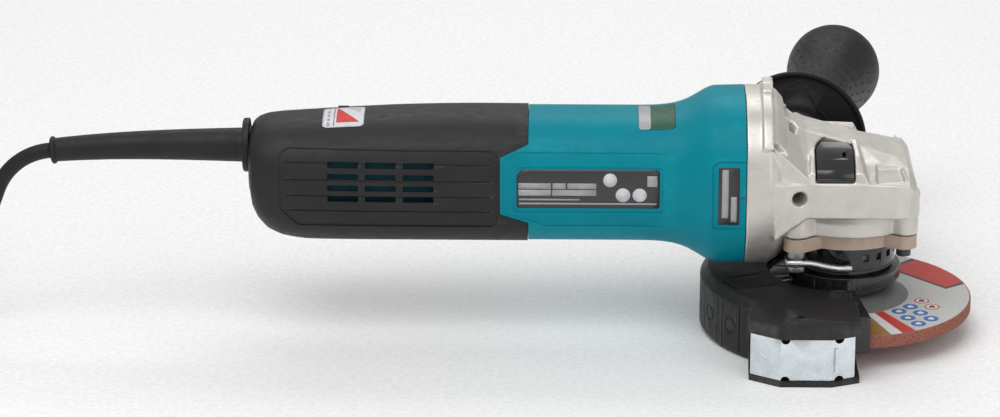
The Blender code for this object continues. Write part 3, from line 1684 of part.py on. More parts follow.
# ---- cord ------------------------------------------------------------------------------------------
def cord_boot():
    """The rubber strain relief: a plate inside the cover, a flange outside, a tapered sleeve and a ring."""
    path, radii = [], []
    for k in range(10):
        share = k / 9
        droop = (BOOT_END.z - BOOT_Z) * share**3
        path.append(Vector((-0.2905 + (BOOT_END.x + 0.2905) * share, 0.0, BOOT_Z + droop)))
        radii.append(0.0084 - 0.0027 * share)
    sleeve = as_mesh(tube("boot_sleeve", path, 1.0, RUBBER, radii=radii, sides=3))
    finish(sleeve, None, cutter=True)
    body = turned(
        "cord_boot",
        [
            (0.0, -0.2778),
            (BOOT_NECK_R + 0.0018, -0.2778),
            (BOOT_NECK_R + 0.0018, -0.2801),
            (BOOT_NECK_R, -0.2801),
            (BOOT_NECK_R, REAR_X - GAP),
            (0.0128, REAR_X - GAP),
            (0.0131, REAR_X - 0.0010),
            (0.0131, REAR_X - 0.0024),
            (0.0122, REAR_X - 0.0034),
            (0.0, REAR_X - 0.0034),
        ],
        RUBBER,
        "X",
        (0, 0, BOOT_Z),
        40,
    )
    heading = BOOT_HEADING
    ring = turned(
        "boot_ring",
        [(0.0, -0.0022), (0.0063, -0.0022), (0.0069, -0.0012), (0.0063, -0.0002), (0.0, -0.0002)],
        None,
        cutter=True,
        steps=28,
        turn=heading.to_track_quat("Z", "Y").to_matrix().to_4x4(),
    )
    ring.location = path[-1]
    return join(body, [sleeve, ring])


def steer(start, heading, moves, step):
    """Points along a run of straights and arcs, each move a (length, turn) pair.

    heading is a unit vector, and every turn is an angle about the axis that comes with it.
    """
    points, at, along = [Vector(start)], Vector(start), Vector(heading)
    for length, angle, axis in moves:
        count = max(1, round(length / step))
        bit = Matrix.Rotation(angle / count / 2, 3, axis)
        for _ in range(count):
            along = bit @ along
            at = at + along * (length / count)
            along = bit @ along
            points.append(at.copy())
    return points


def lead_moves():
    """The cord's way down from the boot to the coil's top row: an arc, a straight, an arc, a straight."""
    first = math.asin(-BOOT_HEADING.z)
    steep = math.radians(CORD_DROP)
    start = BOOT_END + BOOT_HEADING * (2 * GAP)
    end_z = FLOOR_Z + CORD_D / 2 + COIL_PITCH + 0.0002
    fall = start.z - end_z
    straight = (
        fall - CORD_BEND * (math.cos(first) - math.cos(steep)) - CORD_BEND * (1 - math.cos(steep))
    ) / math.sin(steep)
    run = CORD_BEND * (2 * math.sin(steep) - math.sin(first)) + straight * math.cos(steep)
    inner, outer = coil_radii()
    reach = math.sqrt(outer**2 - (COIL_CENTRE.y - CORD_D / 2) ** 2)
    last = start.x - run - (COIL_CENTRE.x + reach + 2 * GAP)
    return start, [
        (CORD_BEND * (steep - first), -(steep - first), "Y"),
        (straight, 0.0, "Y"),
        (CORD_BEND * steep, steep, "Y"),
        (last, 0.0, "Y"),
    ]


def cord_lead():
    start, moves = lead_moves()
    return tube("cord_lead", steer(start, BOOT_HEADING, moves, CORD_D), CORD_D / 2, CORD_RUBBER, sides=3)


def coil_radii():
    inner = COIL_INNER_R - CORD_D / 2 - 0.0002
    outer = COIL_INNER_R + (COIL_COLUMNS - 1) * COIL_PITCH + CORD_D / 2 + 0.0002
    return inner, outer


def cord_coil():
    inner, outer = coil_radii()
    low, high = FLOOR_Z, FLOOR_Z + COIL_ROWS * COIL_PITCH + 0.0006
    return turned(
        "cord_coil",
        [(inner, low), (outer, low), (outer, high), (inner, high)],
        CORD_RUBBER,
        "Z",
        (COIL_CENTRE.x, COIL_CENTRE.y, 0),
        56,
    )


def tail_points():
    """From the coil's far side across the floor to the plug."""
    inner, outer = coil_radii()
    column = COIL_CENTRE.x - (outer - CORD_D / 2 - 0.0002)
    reach = math.sqrt(outer**2 - (outer - CORD_D - 0.0002) ** 2)
    start = (column, COIL_CENTRE.y + reach + 2 * GAP, FLOOR_Z + CORD_D / 2 + 0.0002)
    moves = [(0.0100, 0.0, "Z"), (0.0240, math.radians(-38), "Z"), (0.0060, 0.0, "Z")]
    return steer(start, (0.0, 1.0, 0.0), moves, CORD_D * 0.8)


def cord_tail():
    return tube("cord_tail", tail_points(), CORD_D / 2, CORD_RUBBER, sides=3)


def plug():
    """A moulded two-pin plug: a neck, a grip that swells to a contoured face, and two round pins."""
    rows = (
        (0.0000, 0.0058, 0.0058),
        (0.0090, 0.0064, 0.0064),
        (0.0150, 0.0120, 0.0078),
        (0.0240, 0.0155, 0.0086),
        (0.0330, 0.0165, 0.0088),
        (0.0395, 0.0180, 0.0088),
        (0.0405, 0.0172, 0.0080),
    )
    rings = [
        [(distance, y, z) for _, y, z in section(0.0, 0.0, half_y, half_z, 2.6, 32)]
        for distance, half_y, half_z in rows
    ]
    body = loft("plug", rings, CORD_RUBBER)
    pins = [
        span(f"plug_pin_{k}", 0.0024, 0.0380, 0.0595, "X", (0, side * 0.0095, 0), cutter=True, steps=20)
        for k, side in enumerate((-1, 1))
    ]
    points = tail_points()
    heading = (points[-1] - points[-2]).normalized()
    at = points[-1] + heading * GAP
    at.z = FLOOR_Z + 0.0088 + 0.0001
    turn = Matrix.Rotation(math.atan2(heading.y, heading.x), 4, "Z")
    for piece in [body] + pins:
        piece.matrix_world = Matrix.Translation(at) @ turn @ piece.matrix_basis
    return join(body, pins)


def cord_tie():
    """A loop of tie wire round one side of the coil."""
    inner, outer = coil_radii()
    low, high = FLOOR_Z, FLOOR_Z + COIL_ROWS * COIL_PITCH + 0.0006
    wall = 0.0012
    a = Vector((inner - GAP - wall, high + GAP + wall))
    body = box(
        "cord_tie",
        (inner - GAP - wall, -0.0022, high - 0.0035),
        (outer + GAP + wall, 0.0022, high + GAP + wall),
        CARBON,
    )
    inside = box(
        "tie_inside", (inner - GAP, -0.01, low - 0.01), (outer + GAP, 0.01, high + GAP), cutter=True
    )
    cut(body, [inside])
    place(
        body,
        (COIL_CENTRE.x, COIL_CENTRE.y, 0),
        turn=Matrix.Rotation(math.radians(30), 4, "Z") @ Matrix.Translation(
            ((inner + outer) / 2, 0, (2 * high - 0.0035 + GAP + wall) / 2)
        ),
    )
    place(
        inside,
        (COIL_CENTRE.x, COIL_CENTRE.y, 0),
        turn=Matrix.Rotation(math.radians(30), 4, "Z") @ Matrix.Translation(
            ((inner + outer) / 2, 0, (low - 0.01 + high + GAP) / 2)
        ),
    )
    return body


def bearings():
    ball_middle = BALL_Z + BALL_H / 2
    bearing("spindle_bearing", SPINDLE_SEAT_R + GAP, BALL_R, BALL_H - 0.0004, (0, 0, ball_middle), "Z")
    bearing("needle_bearing", NEEDLE_IN_R, NEEDLE_OUT_R, NEEDLE_H, (0, 0, 0.0815), "Z", 24)
    front = (FRONT_BEARING_X + 0.004, 0, MOTOR_Z)
    bearing("front_bearing", SHAFT_R + GAP, FRONT_BEARING_R, 0.008, front, "X")
    bearing("rear_bearing", SHAFT_R - 0.0005 + GAP, REAR_BEARING_R, 0.0065, (-0.1640, 0, MOTOR_Z), "X")


def fixed_pieces():
    motor_housing()
    rear_cover()
    gear_housing()
    bearing_box()
    bearings()
    stator_core()
    field_coil("field_coil_top", 1)
    field_coil("field_coil_bottom", -1)
    baffle_plate()
    brush_holder("brush_holder_right", -1)
    brush_holder("brush_holder_left", 1)
    switch_module()
    speed_controller()
    cord_clamp()
    cover_screw()
    lever_pin()
    for k, (x, y) in enumerate(BOX_SCREWS):
        screw(f"box_screw_{k + 1}", x, y, BOX_Z - GAP, 0.0042, 0.0036, 0.0018, 0.0590)
    cord_boot()
    cord_lead()
    cord_coil()
    cord_tail()
    plug()
    cord_tie()


def moving_pieces():
    """Each group hangs from an empty on its joint's axis."""
    carry(
        pivot("spindle_axis", (0, 0, 0)),
        spindle(),
        ring_gear(),
        inner_flange(),
        grinding_wheel(),
        lock_nut(),
    )
    windings = [winding("winding_front", -0.0777, -0.0672), winding("winding_rear", -0.1353, -0.1243)]
    armature = [armature_shaft(), slotted_core(), commutator(), fan(), pinion()] + windings
    carry(pivot("armature_axis", (0, 0, MOTOR_Z)), *armature)
    carry(pivot("guard_axis", (0, 0, 0)), wheel_guard(), clamp_band(), cutting_cover(), guard_plate())
    carry(pivot("lever_axis", (*LEVER_PIN, LEVER_Z)), guard_lever())
    carry(pivot("lock_axis", (0, -SIDE_Y, LOCK_Z)), shaft_lock())
    carry(pivot("switch_axis", (SWITCH_X, BARREL_R, MOTOR_Z)), switch_slider())
    carry(pivot("dial_axis", dial_centre()), speed_dial())
    carry(pivot("handle_axis", grip_frame(0.0).translation), side_grip(), side_stud())
    for name, side in (("right", -1), ("left", 1)):
        spot = (BRUSH_X, side * BRUSH_TIP_Y, MOTOR_Z)
        carry(pivot(f"brush_{name}_axis", spot), carbon_brush(f"carbon_brush_{name}", side))


fixed_pieces()
moving_pieces()
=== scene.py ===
"""Looks of the corded angle grinder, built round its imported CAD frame.

Metres, in the frame's own axes: +X towards the gear head, +Z up, the spindle's end at the origin.
"""

import json
import math

import bmesh
import bpy
from mathutils import Matrix, Vector

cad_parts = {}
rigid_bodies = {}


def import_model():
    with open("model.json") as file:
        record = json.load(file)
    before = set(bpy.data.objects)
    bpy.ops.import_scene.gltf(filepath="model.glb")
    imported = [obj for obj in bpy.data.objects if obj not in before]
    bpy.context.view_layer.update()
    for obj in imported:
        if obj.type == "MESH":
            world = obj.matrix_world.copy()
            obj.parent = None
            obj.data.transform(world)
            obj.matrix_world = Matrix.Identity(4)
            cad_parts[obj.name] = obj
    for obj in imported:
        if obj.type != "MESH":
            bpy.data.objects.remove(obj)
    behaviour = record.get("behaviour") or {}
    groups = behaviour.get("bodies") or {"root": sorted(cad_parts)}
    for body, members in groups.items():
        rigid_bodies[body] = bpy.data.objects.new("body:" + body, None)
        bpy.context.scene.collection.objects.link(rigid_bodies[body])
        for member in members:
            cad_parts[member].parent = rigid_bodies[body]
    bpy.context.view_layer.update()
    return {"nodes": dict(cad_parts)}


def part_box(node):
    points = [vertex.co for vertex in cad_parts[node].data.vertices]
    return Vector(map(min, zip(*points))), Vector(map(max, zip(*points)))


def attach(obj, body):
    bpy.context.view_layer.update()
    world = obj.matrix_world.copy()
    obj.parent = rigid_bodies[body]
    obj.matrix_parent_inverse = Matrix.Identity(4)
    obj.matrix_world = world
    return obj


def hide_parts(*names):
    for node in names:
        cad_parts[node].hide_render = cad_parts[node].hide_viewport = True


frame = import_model()

# ---- sizes read from the frame ------------------------------------------------------------
MM = 0.001
GAP = 0.3 * MM
motor_low, motor_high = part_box("motor_housing")
cover_low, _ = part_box("rear_cover")
wheel_low, wheel_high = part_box("grinding_wheel")
guard_low, guard_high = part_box("cutting_cover")
coil_low, coil_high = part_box("cord_coil")

HEAD_X = motor_high[0]
REAR_X = cover_low[0]
SEAM_X = -154 * MM
MOTOR_Z = (motor_low[2] + motor_high[2]) / 2
FLARE_R = (motor_high[2] - motor_low[2]) / 2
BARREL_R = 32 * MM
WHEEL_R = wheel_high[0]
FLOOR_Z = guard_low[2]
SQUARE = 2.35
WALL = 2.6 * MM
SIDE_Y = 38 * MM
GRIP_TILT = 12.0
HANDLE_X, HANDLE_Z = -24.4 * MM, 70.5 * MM
BOX_TOP_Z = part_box("bearing_box")[1][2]


# ---- camera, light and floor ----------------------------------------------------------------
AZIMUTH, ELEVATION, DISTANCE = 1.0, 19.1, 2.0
TARGET = Vector((-168 * MM, 0.0, 51.9 * MM))
VIEW_WIDTH = 487.5 * MM  # what the picture spans at the target


def look_from(azimuth, elevation, distance):
    a, e = math.radians(azimuth), math.radians(elevation)
    back = Vector((math.sin(a) * math.cos(e), -math.cos(a) * math.cos(e), math.sin(e)))
    return TARGET + back * distance, back


def add_camera():
    data = bpy.data.cameras.new("camera")
    data.sensor_width = 36.0
    data.lens = 36.0 * DISTANCE / VIEW_WIDTH
    data.clip_start, data.clip_end = 0.05, 20.0
    camera = bpy.data.objects.new("camera", data)
    bpy.context.scene.collection.objects.link(camera)
    camera.location, back = look_from(AZIMUTH, ELEVATION, DISTANCE)
    camera.rotation_euler = back.to_track_quat("Z", "Y").to_euler()
    bpy.context.scene.camera = camera


def add_light(name, azimuth, elevation, size, power):
    data = bpy.data.lights.new(name, "AREA")
    data.shape = "RECTANGLE"
    data.size, data.size_y = size
    data.energy = power
    light = bpy.data.objects.new(name, data)
    bpy.context.scene.collection.objects.link(light)
    light.location, back = look_from(azimuth, elevation, 1.5)
    light.rotation_euler = back.to_track_quat("Z", "Y").to_euler()


add_camera()
add_light("key", -25, 62, (1.3, 0.9), 11.0)
add_light("fill", 40, 22, (0.9, 0.9), 3.0)
add_light("rim", 175, 48, (1.4, 0.5), 6.0)
world = bpy.data.worlds.new("studio")
world.use_nodes = True
world.node_tree.nodes["Background"].inputs["Color"].default_value = (1.0, 1.0, 1.0, 1.0)
world.node_tree.nodes["Background"].inputs["Strength"].default_value = 0.5
bpy.context.scene.world = world
bpy.context.scene.view_settings.view_transform = "Standard"


# ---- materials ----------------------------------------------------------------------------
class Look:
    """A Principled material whose nodes are added one at a time."""

    def __init__(self, name, colour, roughness, metallic=0.0):
        self.made = bpy.data.materials.new(name)
        self.made.use_nodes = True
        self.nodes = self.made.node_tree.nodes
        self.links = self.made.node_tree.links
        self.shader = self.nodes["Principled BSDF"]
        self.base = colour
        self.shader.inputs["Base Color"].default_value = (*colour, 1.0)
        self.shader.inputs["Roughness"].default_value = roughness
        self.shader.inputs["Metallic"].default_value = metallic
        self.made.diffuse_color = (*colour, 1.0)
        self.place = self.nodes.new("ShaderNodeTexCoord").outputs["Object"]
        self.bumped = None

    def noise(self, size, detail=3.0, stretch=None, rough=0.55):
        """Noise whose features are about this size in metres."""
        node = self.nodes.new("ShaderNodeTexNoise")
        node.inputs["Scale"].default_value = 1.0 / size
        node.inputs["Detail"].default_value = detail
        node.inputs["Roughness"].default_value = rough
        source = self.place
        if stretch:
            mapping = self.nodes.new("ShaderNodeMapping")
            mapping.inputs["Scale"].default_value = stretch
            self.links.new(source, mapping.inputs["Vector"])
            source = mapping.outputs["Vector"]
        self.links.new(source, node.inputs["Vector"])
        return node.outputs["Fac"]

    def ramp(self, value, low, high, start=0.3, stop=0.7):
        """Maps a value between start and stop onto low to high, numbers or colours."""
        node = self.nodes.new("ShaderNodeValToRGB")
        for spot, at, level in zip(node.color_ramp.elements, (start, stop), (low, high)):
            spot.position = at
            spot.color = (*level, 1.0) if hasattr(level, "__len__") else (level, level, level, 1.0)
        self.links.new(value, node.inputs["Fac"])
        return node.outputs["Color"]

    def mix(self, factor, first, second, kind="MIX"):
        node = self.nodes.new("ShaderNodeMix")
        node.data_type = "RGBA"
        node.blend_type = kind
        self.feed(node.inputs[0], factor)
        self.feed(node.inputs[6], first)
        self.feed(node.inputs[7], second)
        return node.outputs[2]

    def product(self, first, second):
        node = self.nodes.new("ShaderNodeMath")
        node.operation = "MULTIPLY"
        self.feed(node.inputs[0], first)
        self.feed(node.inputs[1], second)
        return node.outputs["Value"]

    def feed(self, socket, value):
        if isinstance(value, bpy.types.NodeSocket):
            self.links.new(value, socket)
        elif hasattr(value, "__len__"):
            socket.default_value = (*value, 1.0)
        else:
            socket.default_value = value

    def colour(self, value):
        self.links.new(value, self.shader.inputs["Base Color"])
        return self

    def roughness(self, value):
        self.links.new(value, self.shader.inputs["Roughness"])
        return self

    def bump(self, value, strength, depth=0.1 * MM):
        node = self.nodes.new("ShaderNodeBump")
        node.inputs["Strength"].default_value = strength
        node.inputs["Distance"].default_value = depth
        self.links.new(value, node.inputs["Height"])
        if self.bumped:
            self.links.new(self.bumped, node.inputs["Normal"])
        self.bumped = node.outputs["Normal"]
        self.links.new(self.bumped, self.shader.inputs["Normal"])
        return self

    def edges(self, start=0.53, stop=0.60):
        """Where the surface is sharply convex: worn edges on moulded parts, and a painted edge highlight on
        castings.
        """
        geometry = self.nodes.new("ShaderNodeNewGeometry")
        return self.ramp(geometry.outputs["Pointiness"], 0.0, 1.0, start, stop)

    def set(self, socket, value):
        self.shader.inputs[socket].default_value = value
        return self


def shade(colour, factor):
    return tuple(c * factor for c in colour)


def moulded(name, colour, roughness, grain=0.35 * MM, strength=0.25, variation=0.1, wear=None, shine=0.3):
    """Moulded plastic or rubber: fine grain, faint handling marks and slightly scuffed edges."""
    look = Look(name, colour, roughness)
    cloud = look.noise(18 * MM, 4.0)
    tone = look.ramp(cloud, shade(colour, 1 - variation), shade(colour, 1 + variation))
    if wear:
        scuffed = look.product(look.edges(), look.ramp(look.noise(4 * MM), 0.0, 0.6))
        tone = look.mix(scuffed, tone, wear)
    look.colour(tone)
    marks = look.noise(6 * MM, 5.0, (1.0, 3.0, 1.0))
    look.roughness(look.ramp(marks, roughness - 0.06, roughness + 0.10))
    look.bump(look.noise(grain, 2.0), strength, 0.04 * MM)
    look.set("Specular IOR Level", shine)
    return look.made


def cast_metal(name, colour, roughness, grain, depth, dirt=0.25):
    """A blasted die casting: grainy, its edges brightened as a painted highlight, dull in its hollows."""
    look = Look(name, colour, roughness, 0.75)
    fine = look.noise(grain, 3.0, rough=0.7)
    tone = look.ramp(look.noise(9 * MM, 5.0), shade(colour, 0.90), shade(colour, 1.06))
    speckle = look.ramp(fine, shade(colour, 1 - dirt), shade(colour, 1.08), 0.36, 0.62)
    tone = look.mix(0.35, tone, speckle)
    # painted highlight: sharply convex edges lightened to 1.25 times the casting's colour
    tone = look.mix(look.edges(0.52, 0.64), tone, shade(colour, 1.25))
    look.colour(tone)
    look.roughness(look.ramp(look.noise(5 * MM, 4.0), roughness - 0.07, roughness + 0.10))
    look.bump(fine, 0.8, depth)
    look.bump(look.noise(7 * MM, 2.0), 0.35, 0.12 * MM)
    return look.made


def metal(name, colour, roughness, stretch=(1.0, 1.0, 1.0), streak=0.12):
    """Turned, drawn or plated metal with fine streaks."""
    look = Look(name, colour, roughness, 1.0)
    lines = look.noise(0.5 * MM, 3.0, stretch)
    look.colour(look.ramp(look.noise(6 * MM, 4.0), shade(colour, 0.88), shade(colour, 1.05)))
    look.roughness(look.ramp(lines, roughness - streak / 2, roughness + streak))
    look.bump(lines, 0.25, 0.015 * MM)
    return look.made


def gloss_black(name, roughness, tone=0.012):
    look = Look(name, (tone, tone, tone * 1.1), roughness)
    look.set("Coat Weight", 0.3)
    look.roughness(look.ramp(look.noise(8 * MM, 4.0), roughness - 0.05, roughness + 0.10))
    look.bump(look.noise(1.2 * MM, 2.0), 0.15, 0.02 * MM)
    return look.made


def grit(name, colours, grain):
    """Bonded abrasive: grains of two colours in a darker bond."""
    look = Look(name, colours[0], 0.9)
    cells = look.nodes.new("ShaderNodeTexVoronoi")
    cells.inputs["Scale"].default_value = 1.0 / grain
    look.links.new(look.place, cells.inputs["Vector"])
    tint = look.ramp(cells.outputs["Distance"], colours[1], colours[0], 0.15, 0.55)
    dark = look.ramp(look.noise(grain * 0.8, 2.0), colours[2], (1.0, 1.0, 1.0), 0.35, 0.5)
    look.colour(look.mix(0.75, tint, dark, "MULTIPLY"))
    look.roughness(look.ramp(look.noise(grain, 2.0), 0.75, 0.98))
    look.bump(cells.outputs["Distance"], 0.9, 0.25 * MM)
    return look.made


def printed(name, colour, roughness=0.45, coat=0.0):
    """Ink on film or paper: nearly even, with faint fibre and scuffs."""
    look = Look(name, colour, roughness)
    look.colour(look.ramp(look.noise(2.5 * MM, 4.0), shade(colour, 0.92), shade(colour, 1.05)))
    look.roughness(look.ramp(look.noise(4 * MM, 3.0), roughness - 0.05, roughness + 0.08))
    look.set("Coat Weight", coat)
    look.bump(look.noise(0.6 * MM, 2.0), 0.1, 0.01 * MM)
    return look.made


TEAL_COLOUR = (0.0, 0.22, 0.285)
TEAL = moulded(
    "teal_plastic", TEAL_COLOUR, 0.42, 0.3 * MM, 0.18, 0.05, wear=(0.005, 0.27, 0.34), shine=0.12
)
# painted shade: the housing's teal at 0.35 of its brightness, for the wall seen through the vents
TEAL_PAINTED_SHADE = moulded("teal_plastic_painted_shade", shade(TEAL_COLOUR, 0.35), 0.6)
BLACK = moulded(
    "black_plastic", (0.0175, 0.0160, 0.0160), 0.50, 0.32 * MM, 0.3, 0.12, wear=(0.06, 0.06, 0.06)
)
COVER_BLACK = moulded(
    "guard_plastic", (0.0165, 0.0155, 0.0155), 0.46, 0.45 * MM, 0.25, 0.15, wear=(0.09, 0.09, 0.09)
)
RUBBER = moulded("black_rubber", (0.014, 0.014, 0.015), 0.52, 0.5 * MM, 0.3, 0.15, wear=(0.07, 0.07, 0.07))
GRIP = moulded(
    "grip_rubber", (0.0105, 0.0100, 0.0105), 0.46, 1.6 * MM, 0.45, 0.2, wear=(0.045, 0.045, 0.045),
    shine=0.22,
)
CORD_BLACK = moulded("cord_sheath", (0.0135, 0.0125, 0.0125), 0.5, 0.8 * MM, 0.2, 0.12)
CAST = cast_metal("die_cast_head", (0.66, 0.635, 0.59), 0.43, 0.55 * MM, 0.05 * MM)
ROUGH_CAST = cast_metal("sand_cast_box", (0.43, 0.345, 0.285), 0.62, 0.8 * MM, 0.34 * MM, 0.6)
BRIGHT = metal("zinc_plate", (0.74, 0.79, 0.83), 0.24, (0.25, 1.0, 1.0))
LEVER_STEEL = metal("lever_steel", (0.62, 0.62, 0.60), 0.27)
STEEL = metal("turned_steel", (0.42, 0.42, 0.42), 0.28, (1.0, 1.0, 8.0))
COPPER = metal("winding_copper", (0.55, 0.24, 0.10), 0.35, (1.0, 6.0, 6.0))
BRASS = metal("stamped_brass", (0.62, 0.45, 0.18), 0.32)
IRON = metal("laminated_iron", (0.10, 0.10, 0.11), 0.4, (30.0, 1.0, 1.0))
GLOSS = gloss_black("black_steel", 0.20)
SATIN = gloss_black("black_oxide", 0.34, 0.02)
BUTTON = gloss_black("button_plastic", 0.16, 0.014)
WHEEL_GRIT = grit("bonded_grit", ((0.30, 0.095, 0.065), (0.42, 0.19, 0.13), (0.35, 0.2, 0.16)), 0.7 * MM)
CARBON = grit("pressed_carbon", ((0.03, 0.03, 0.03), (0.05, 0.05, 0.05), (0.5, 0.5, 0.5)), 0.3 * MM)
PAPER = printed("wheel_paper", (0.50, 0.50, 0.48), 0.6)
PAPER_RED = printed("wheel_paper_red", (0.50, 0.035, 0.025), 0.55)
PAPER_DARK = printed("wheel_paper_dark", (0.045, 0.045, 0.045), 0.55)
PAPER_OCHRE = printed("wheel_paper_ochre", (0.32, 0.17, 0.05), 0.55)
PAPER_BLUE = printed("wheel_paper_blue", (0.035, 0.14, 0.42), 0.55)
PAPER_WHITE = printed("wheel_paper_white", (0.66, 0.66, 0.65), 0.55)
LABEL_DARK = printed("label_dark", (0.035, 0.034, 0.036), 0.32)
LABEL_WHITE = printed("label_white", (0.60, 0.61, 0.63), 0.4)
LABEL_GREY = printed("label_grey", (0.34, 0.35, 0.36), 0.3)
LABEL_GREEN = printed("label_green", (0.0, 0.075, 0.035), 0.45)
LABEL_RED = printed("label_red", (0.55, 0.012, 0.010), 0.5)
FLOOR_LOOK = printed("pale_floor", (0.93, 0.93, 0.93), 0.8)


# ---- modelling helpers --------------------------------------------------------------------
CUTTERS = bpy.data.collections.new("cutters")
bpy.context.scene.collection.children.link(CUTTERS)
HEADING = {
    "X": Matrix.Rotation(math.radians(90), 4, "Y"), "Y": Matrix.Rotation(math.radians(-90), 4, "X"),
    "Z": Matrix.Identity(4),
}


def from_mesh(name, mesh, mat, sharp=35):
    mesh.shade_smooth()
    mesh.set_sharp_from_angle(angle=math.radians(sharp))
    obj = bpy.data.objects.new(name, mesh)
    if mat is None:
        CUTTERS.objects.link(obj)
        obj.hide_render = True
    else:
        bpy.context.scene.collection.objects.link(obj)
        mesh.materials.append(mat)
    return obj


def from_bmesh(name, bm, mat, sharp=35):
    bmesh.ops.recalc_face_normals(bm, faces=bm.faces)
    mesh = bpy.data.meshes.new(name)
    bm.to_mesh(mesh)
    bm.free()
    return from_mesh(name, mesh, mat, sharp)


def place(obj, centre, axis="Z", turn=None):
    obj.matrix_world = Matrix.Translation(Vector(centre)) @ (turn or HEADING[axis])
    return obj


def facing(direction):
    """A turn that puts local +Z along a direction."""
    return direction.to_track_quat("Z", "Y").to_matrix().to_4x4()


def around(radius, angle, z=0.0):
    """The point at this radius and angle round the Z axis."""
    return Vector((radius * math.cos(angle), radius * math.sin(angle), z))


def middle_of(node):
    """The middle of a CAD node's box, seen from above."""
    low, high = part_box(node)
    return (low[0] + high[0]) / 2, (low[1] + high[1]) / 2


def span(name, radius, low, high, axis="Z", centre=(0, 0, 0), mat=None, steps=64, top=None, turn=None):
    """A closed cylinder or cone from low to high along its axis: a cutter when it has no material."""
    bm = bmesh.new()
    ends = (radius, radius if top is None else top)
    bmesh.ops.create_cone(
        bm, cap_ends=True, segments=steps, radius1=ends[0], radius2=ends[1], depth=high - low
    )
    bmesh.ops.translate(bm, vec=(0, 0, (high + low) / 2), verts=bm.verts)
    middle = list(centre)
    if turn is None:
        middle["XYZ".index(axis)] = 0.0
    return place(from_bmesh(name, bm, mat), middle, axis, turn)


def box(name, low, high, mat=None, bevel=0.0, segments=3):
    bm = bmesh.new()
    bmesh.ops.create_cube(bm, size=1.0)
    bmesh.ops.scale(bm, vec=[b - a for a, b in zip(low, high)], verts=bm.verts)
    bmesh.ops.translate(bm, vec=[(a + b) / 2 for a, b in zip(low, high)], verts=bm.verts)
    obj = from_bmesh(name, bm, mat)
    return rounded(obj, bevel, segments) if bevel else obj


def rounded(obj, width, segments=3, angle=32):
    bevel = obj.modifiers.new("rounded", "BEVEL")
    bevel.width = width
    bevel.segments = segments
    bevel.limit_method = "ANGLE"
    bevel.angle_limit = math.radians(angle)
    bevel.use_clamp_overlap = True
    return obj


def hull(name, points, mat=None):
    bm = bmesh.new()
    for point in points:
        bm.verts.new(point)
    made = bmesh.ops.convex_hull(bm, input=bm.verts)
    loose = [v for v in made["geom_interior"] if isinstance(v, bmesh.types.BMVert)]
    bmesh.ops.delete(bm, geom=loose, context="VERTS")
    bmesh.ops.dissolve_limit(bm, angle_limit=math.radians(0.5), verts=bm.verts, edges=bm.edges)
    return from_bmesh(name, bm, mat)


def tab(name, low, high, first, second, mat=None, steps=40):
    """A flat tab with round ends: the hull of two discs, each (x, y, radius), from z low to high."""
    points = []
    for x, y, radius in (first, second):
        for k in range(steps):
            a = 2 * math.pi * k / steps
            points += [(x + radius * math.cos(a), y + radius * math.sin(a), z) for z in (low, high)]
    return hull(name, points, mat)


def fillet(profile, radius, steps=4):
    """The same outline with its corners rounded, where a side is long enough."""
    made = []
    count = len(profile)
    for k in range(count):
        before, here, after = (Vector(profile[(k + d) % count]) for d in (-1, 0, 1))
        to_before, to_after = before - here, after - here
        on_axis = here.x < 1e-9
        if on_axis or min(to_before.length, to_after.length) < 1e-7:
            made.append(tuple(here))
            continue
        cut_back = min(radius, to_before.length * 0.45, to_after.length * 0.45)
        start, stop = here + to_before.normalized() * cut_back, here + to_after.normalized() * cut_back
        for n in range(steps + 1):
            t = n / steps
            made.append(tuple(start * (1 - t) ** 2 + here * 2 * t * (1 - t) + stop * t**2))
    return made


def turned(name, profile, mat=None, axis="Z", centre=(0, 0, 0), steps=96, edge=0.4 * MM, turn=None):
    """A solid of revolution from a profile of (radius, height) points, whose corners get rounded."""
    if edge:
        profile = fillet(profile, edge)
    bm = bmesh.new()
    rings = []
    for radius, height in profile:
        if radius < 1e-9:
            rings.append([bm.verts.new((0, 0, height))])
        else:
            turns = (2 * math.pi * k / steps for k in range(steps))
            rings.append(
                [bm.verts.new((radius * math.cos(a), radius * math.sin(a), height)) for a in turns]
            )
    for near, far in zip(rings, rings[1:] + rings[:1]):
        if len(near) == 1 and len(far) == 1:
            continue
        for k in range(steps):
            after = (k + 1) % steps
            corners = [
                near[k % len(near)], near[after % len(near)], far[after % len(far)], far[k % len(far)]
            ]
            bm.faces.new(list(dict.fromkeys(corners)))
    return place(from_bmesh(name, bm, mat), centre, axis, turn)


def loft(name, rings, mat=None, capped=True):
    bm = bmesh.new()
    made = [[bm.verts.new(point) for point in ring] for ring in rings]
    for near, far in zip(made, made[1:]):
        for k in range(len(near)):
            after = (k + 1) % len(near)
            bm.faces.new((near[k], near[after], far[after], far[k]))
    if capped:
        bm.faces.new(made[0])
        bm.faces.new(made[-1][::-1])
    return from_bmesh(name, bm, mat)


def boolean(obj, others, operation):
    for other in others:
        step = obj.modifiers.new(operation.lower(), "BOOLEAN")
        step.operation = operation
        step.object = other
    return obj


def join(obj, others):
    return boolean(obj, others, "UNION")


def cut(obj, others):
    return boolean(obj, others, "DIFFERENCE")


def keep_inside(obj, others):
    return boolean(obj, others, "INTERSECT")


def section(x, centre_z, half_y, half_z, square=SQUARE, steps=128):
    ring = []
    for k in range(steps):
        a = 2 * math.pi * (k + 0.5) / steps
        c, s = math.cos(a), math.sin(a)
        y = half_y * math.copysign(abs(c) ** (2 / square), c)
        ring.append((x, y, centre_z + half_z * math.copysign(abs(s) ** (2 / square), s)))
    return ring


def melted(obj, voxel, passes=4, keep=0.5):
    """Gives a solid the small radii of a casting: remeshed, smoothed and thinned out again."""
    remesh = obj.modifiers.new("remesh", "REMESH")
    remesh.mode = "VOXEL"
    remesh.voxel_size = voxel
    remesh.use_smooth_shade = True
    smooth = obj.modifiers.new("smooth", "SMOOTH")
    smooth.factor = 0.5
    smooth.iterations = passes
    thin = obj.modifiers.new("thin", "DECIMATE")
    thin.ratio = keep
    return obj


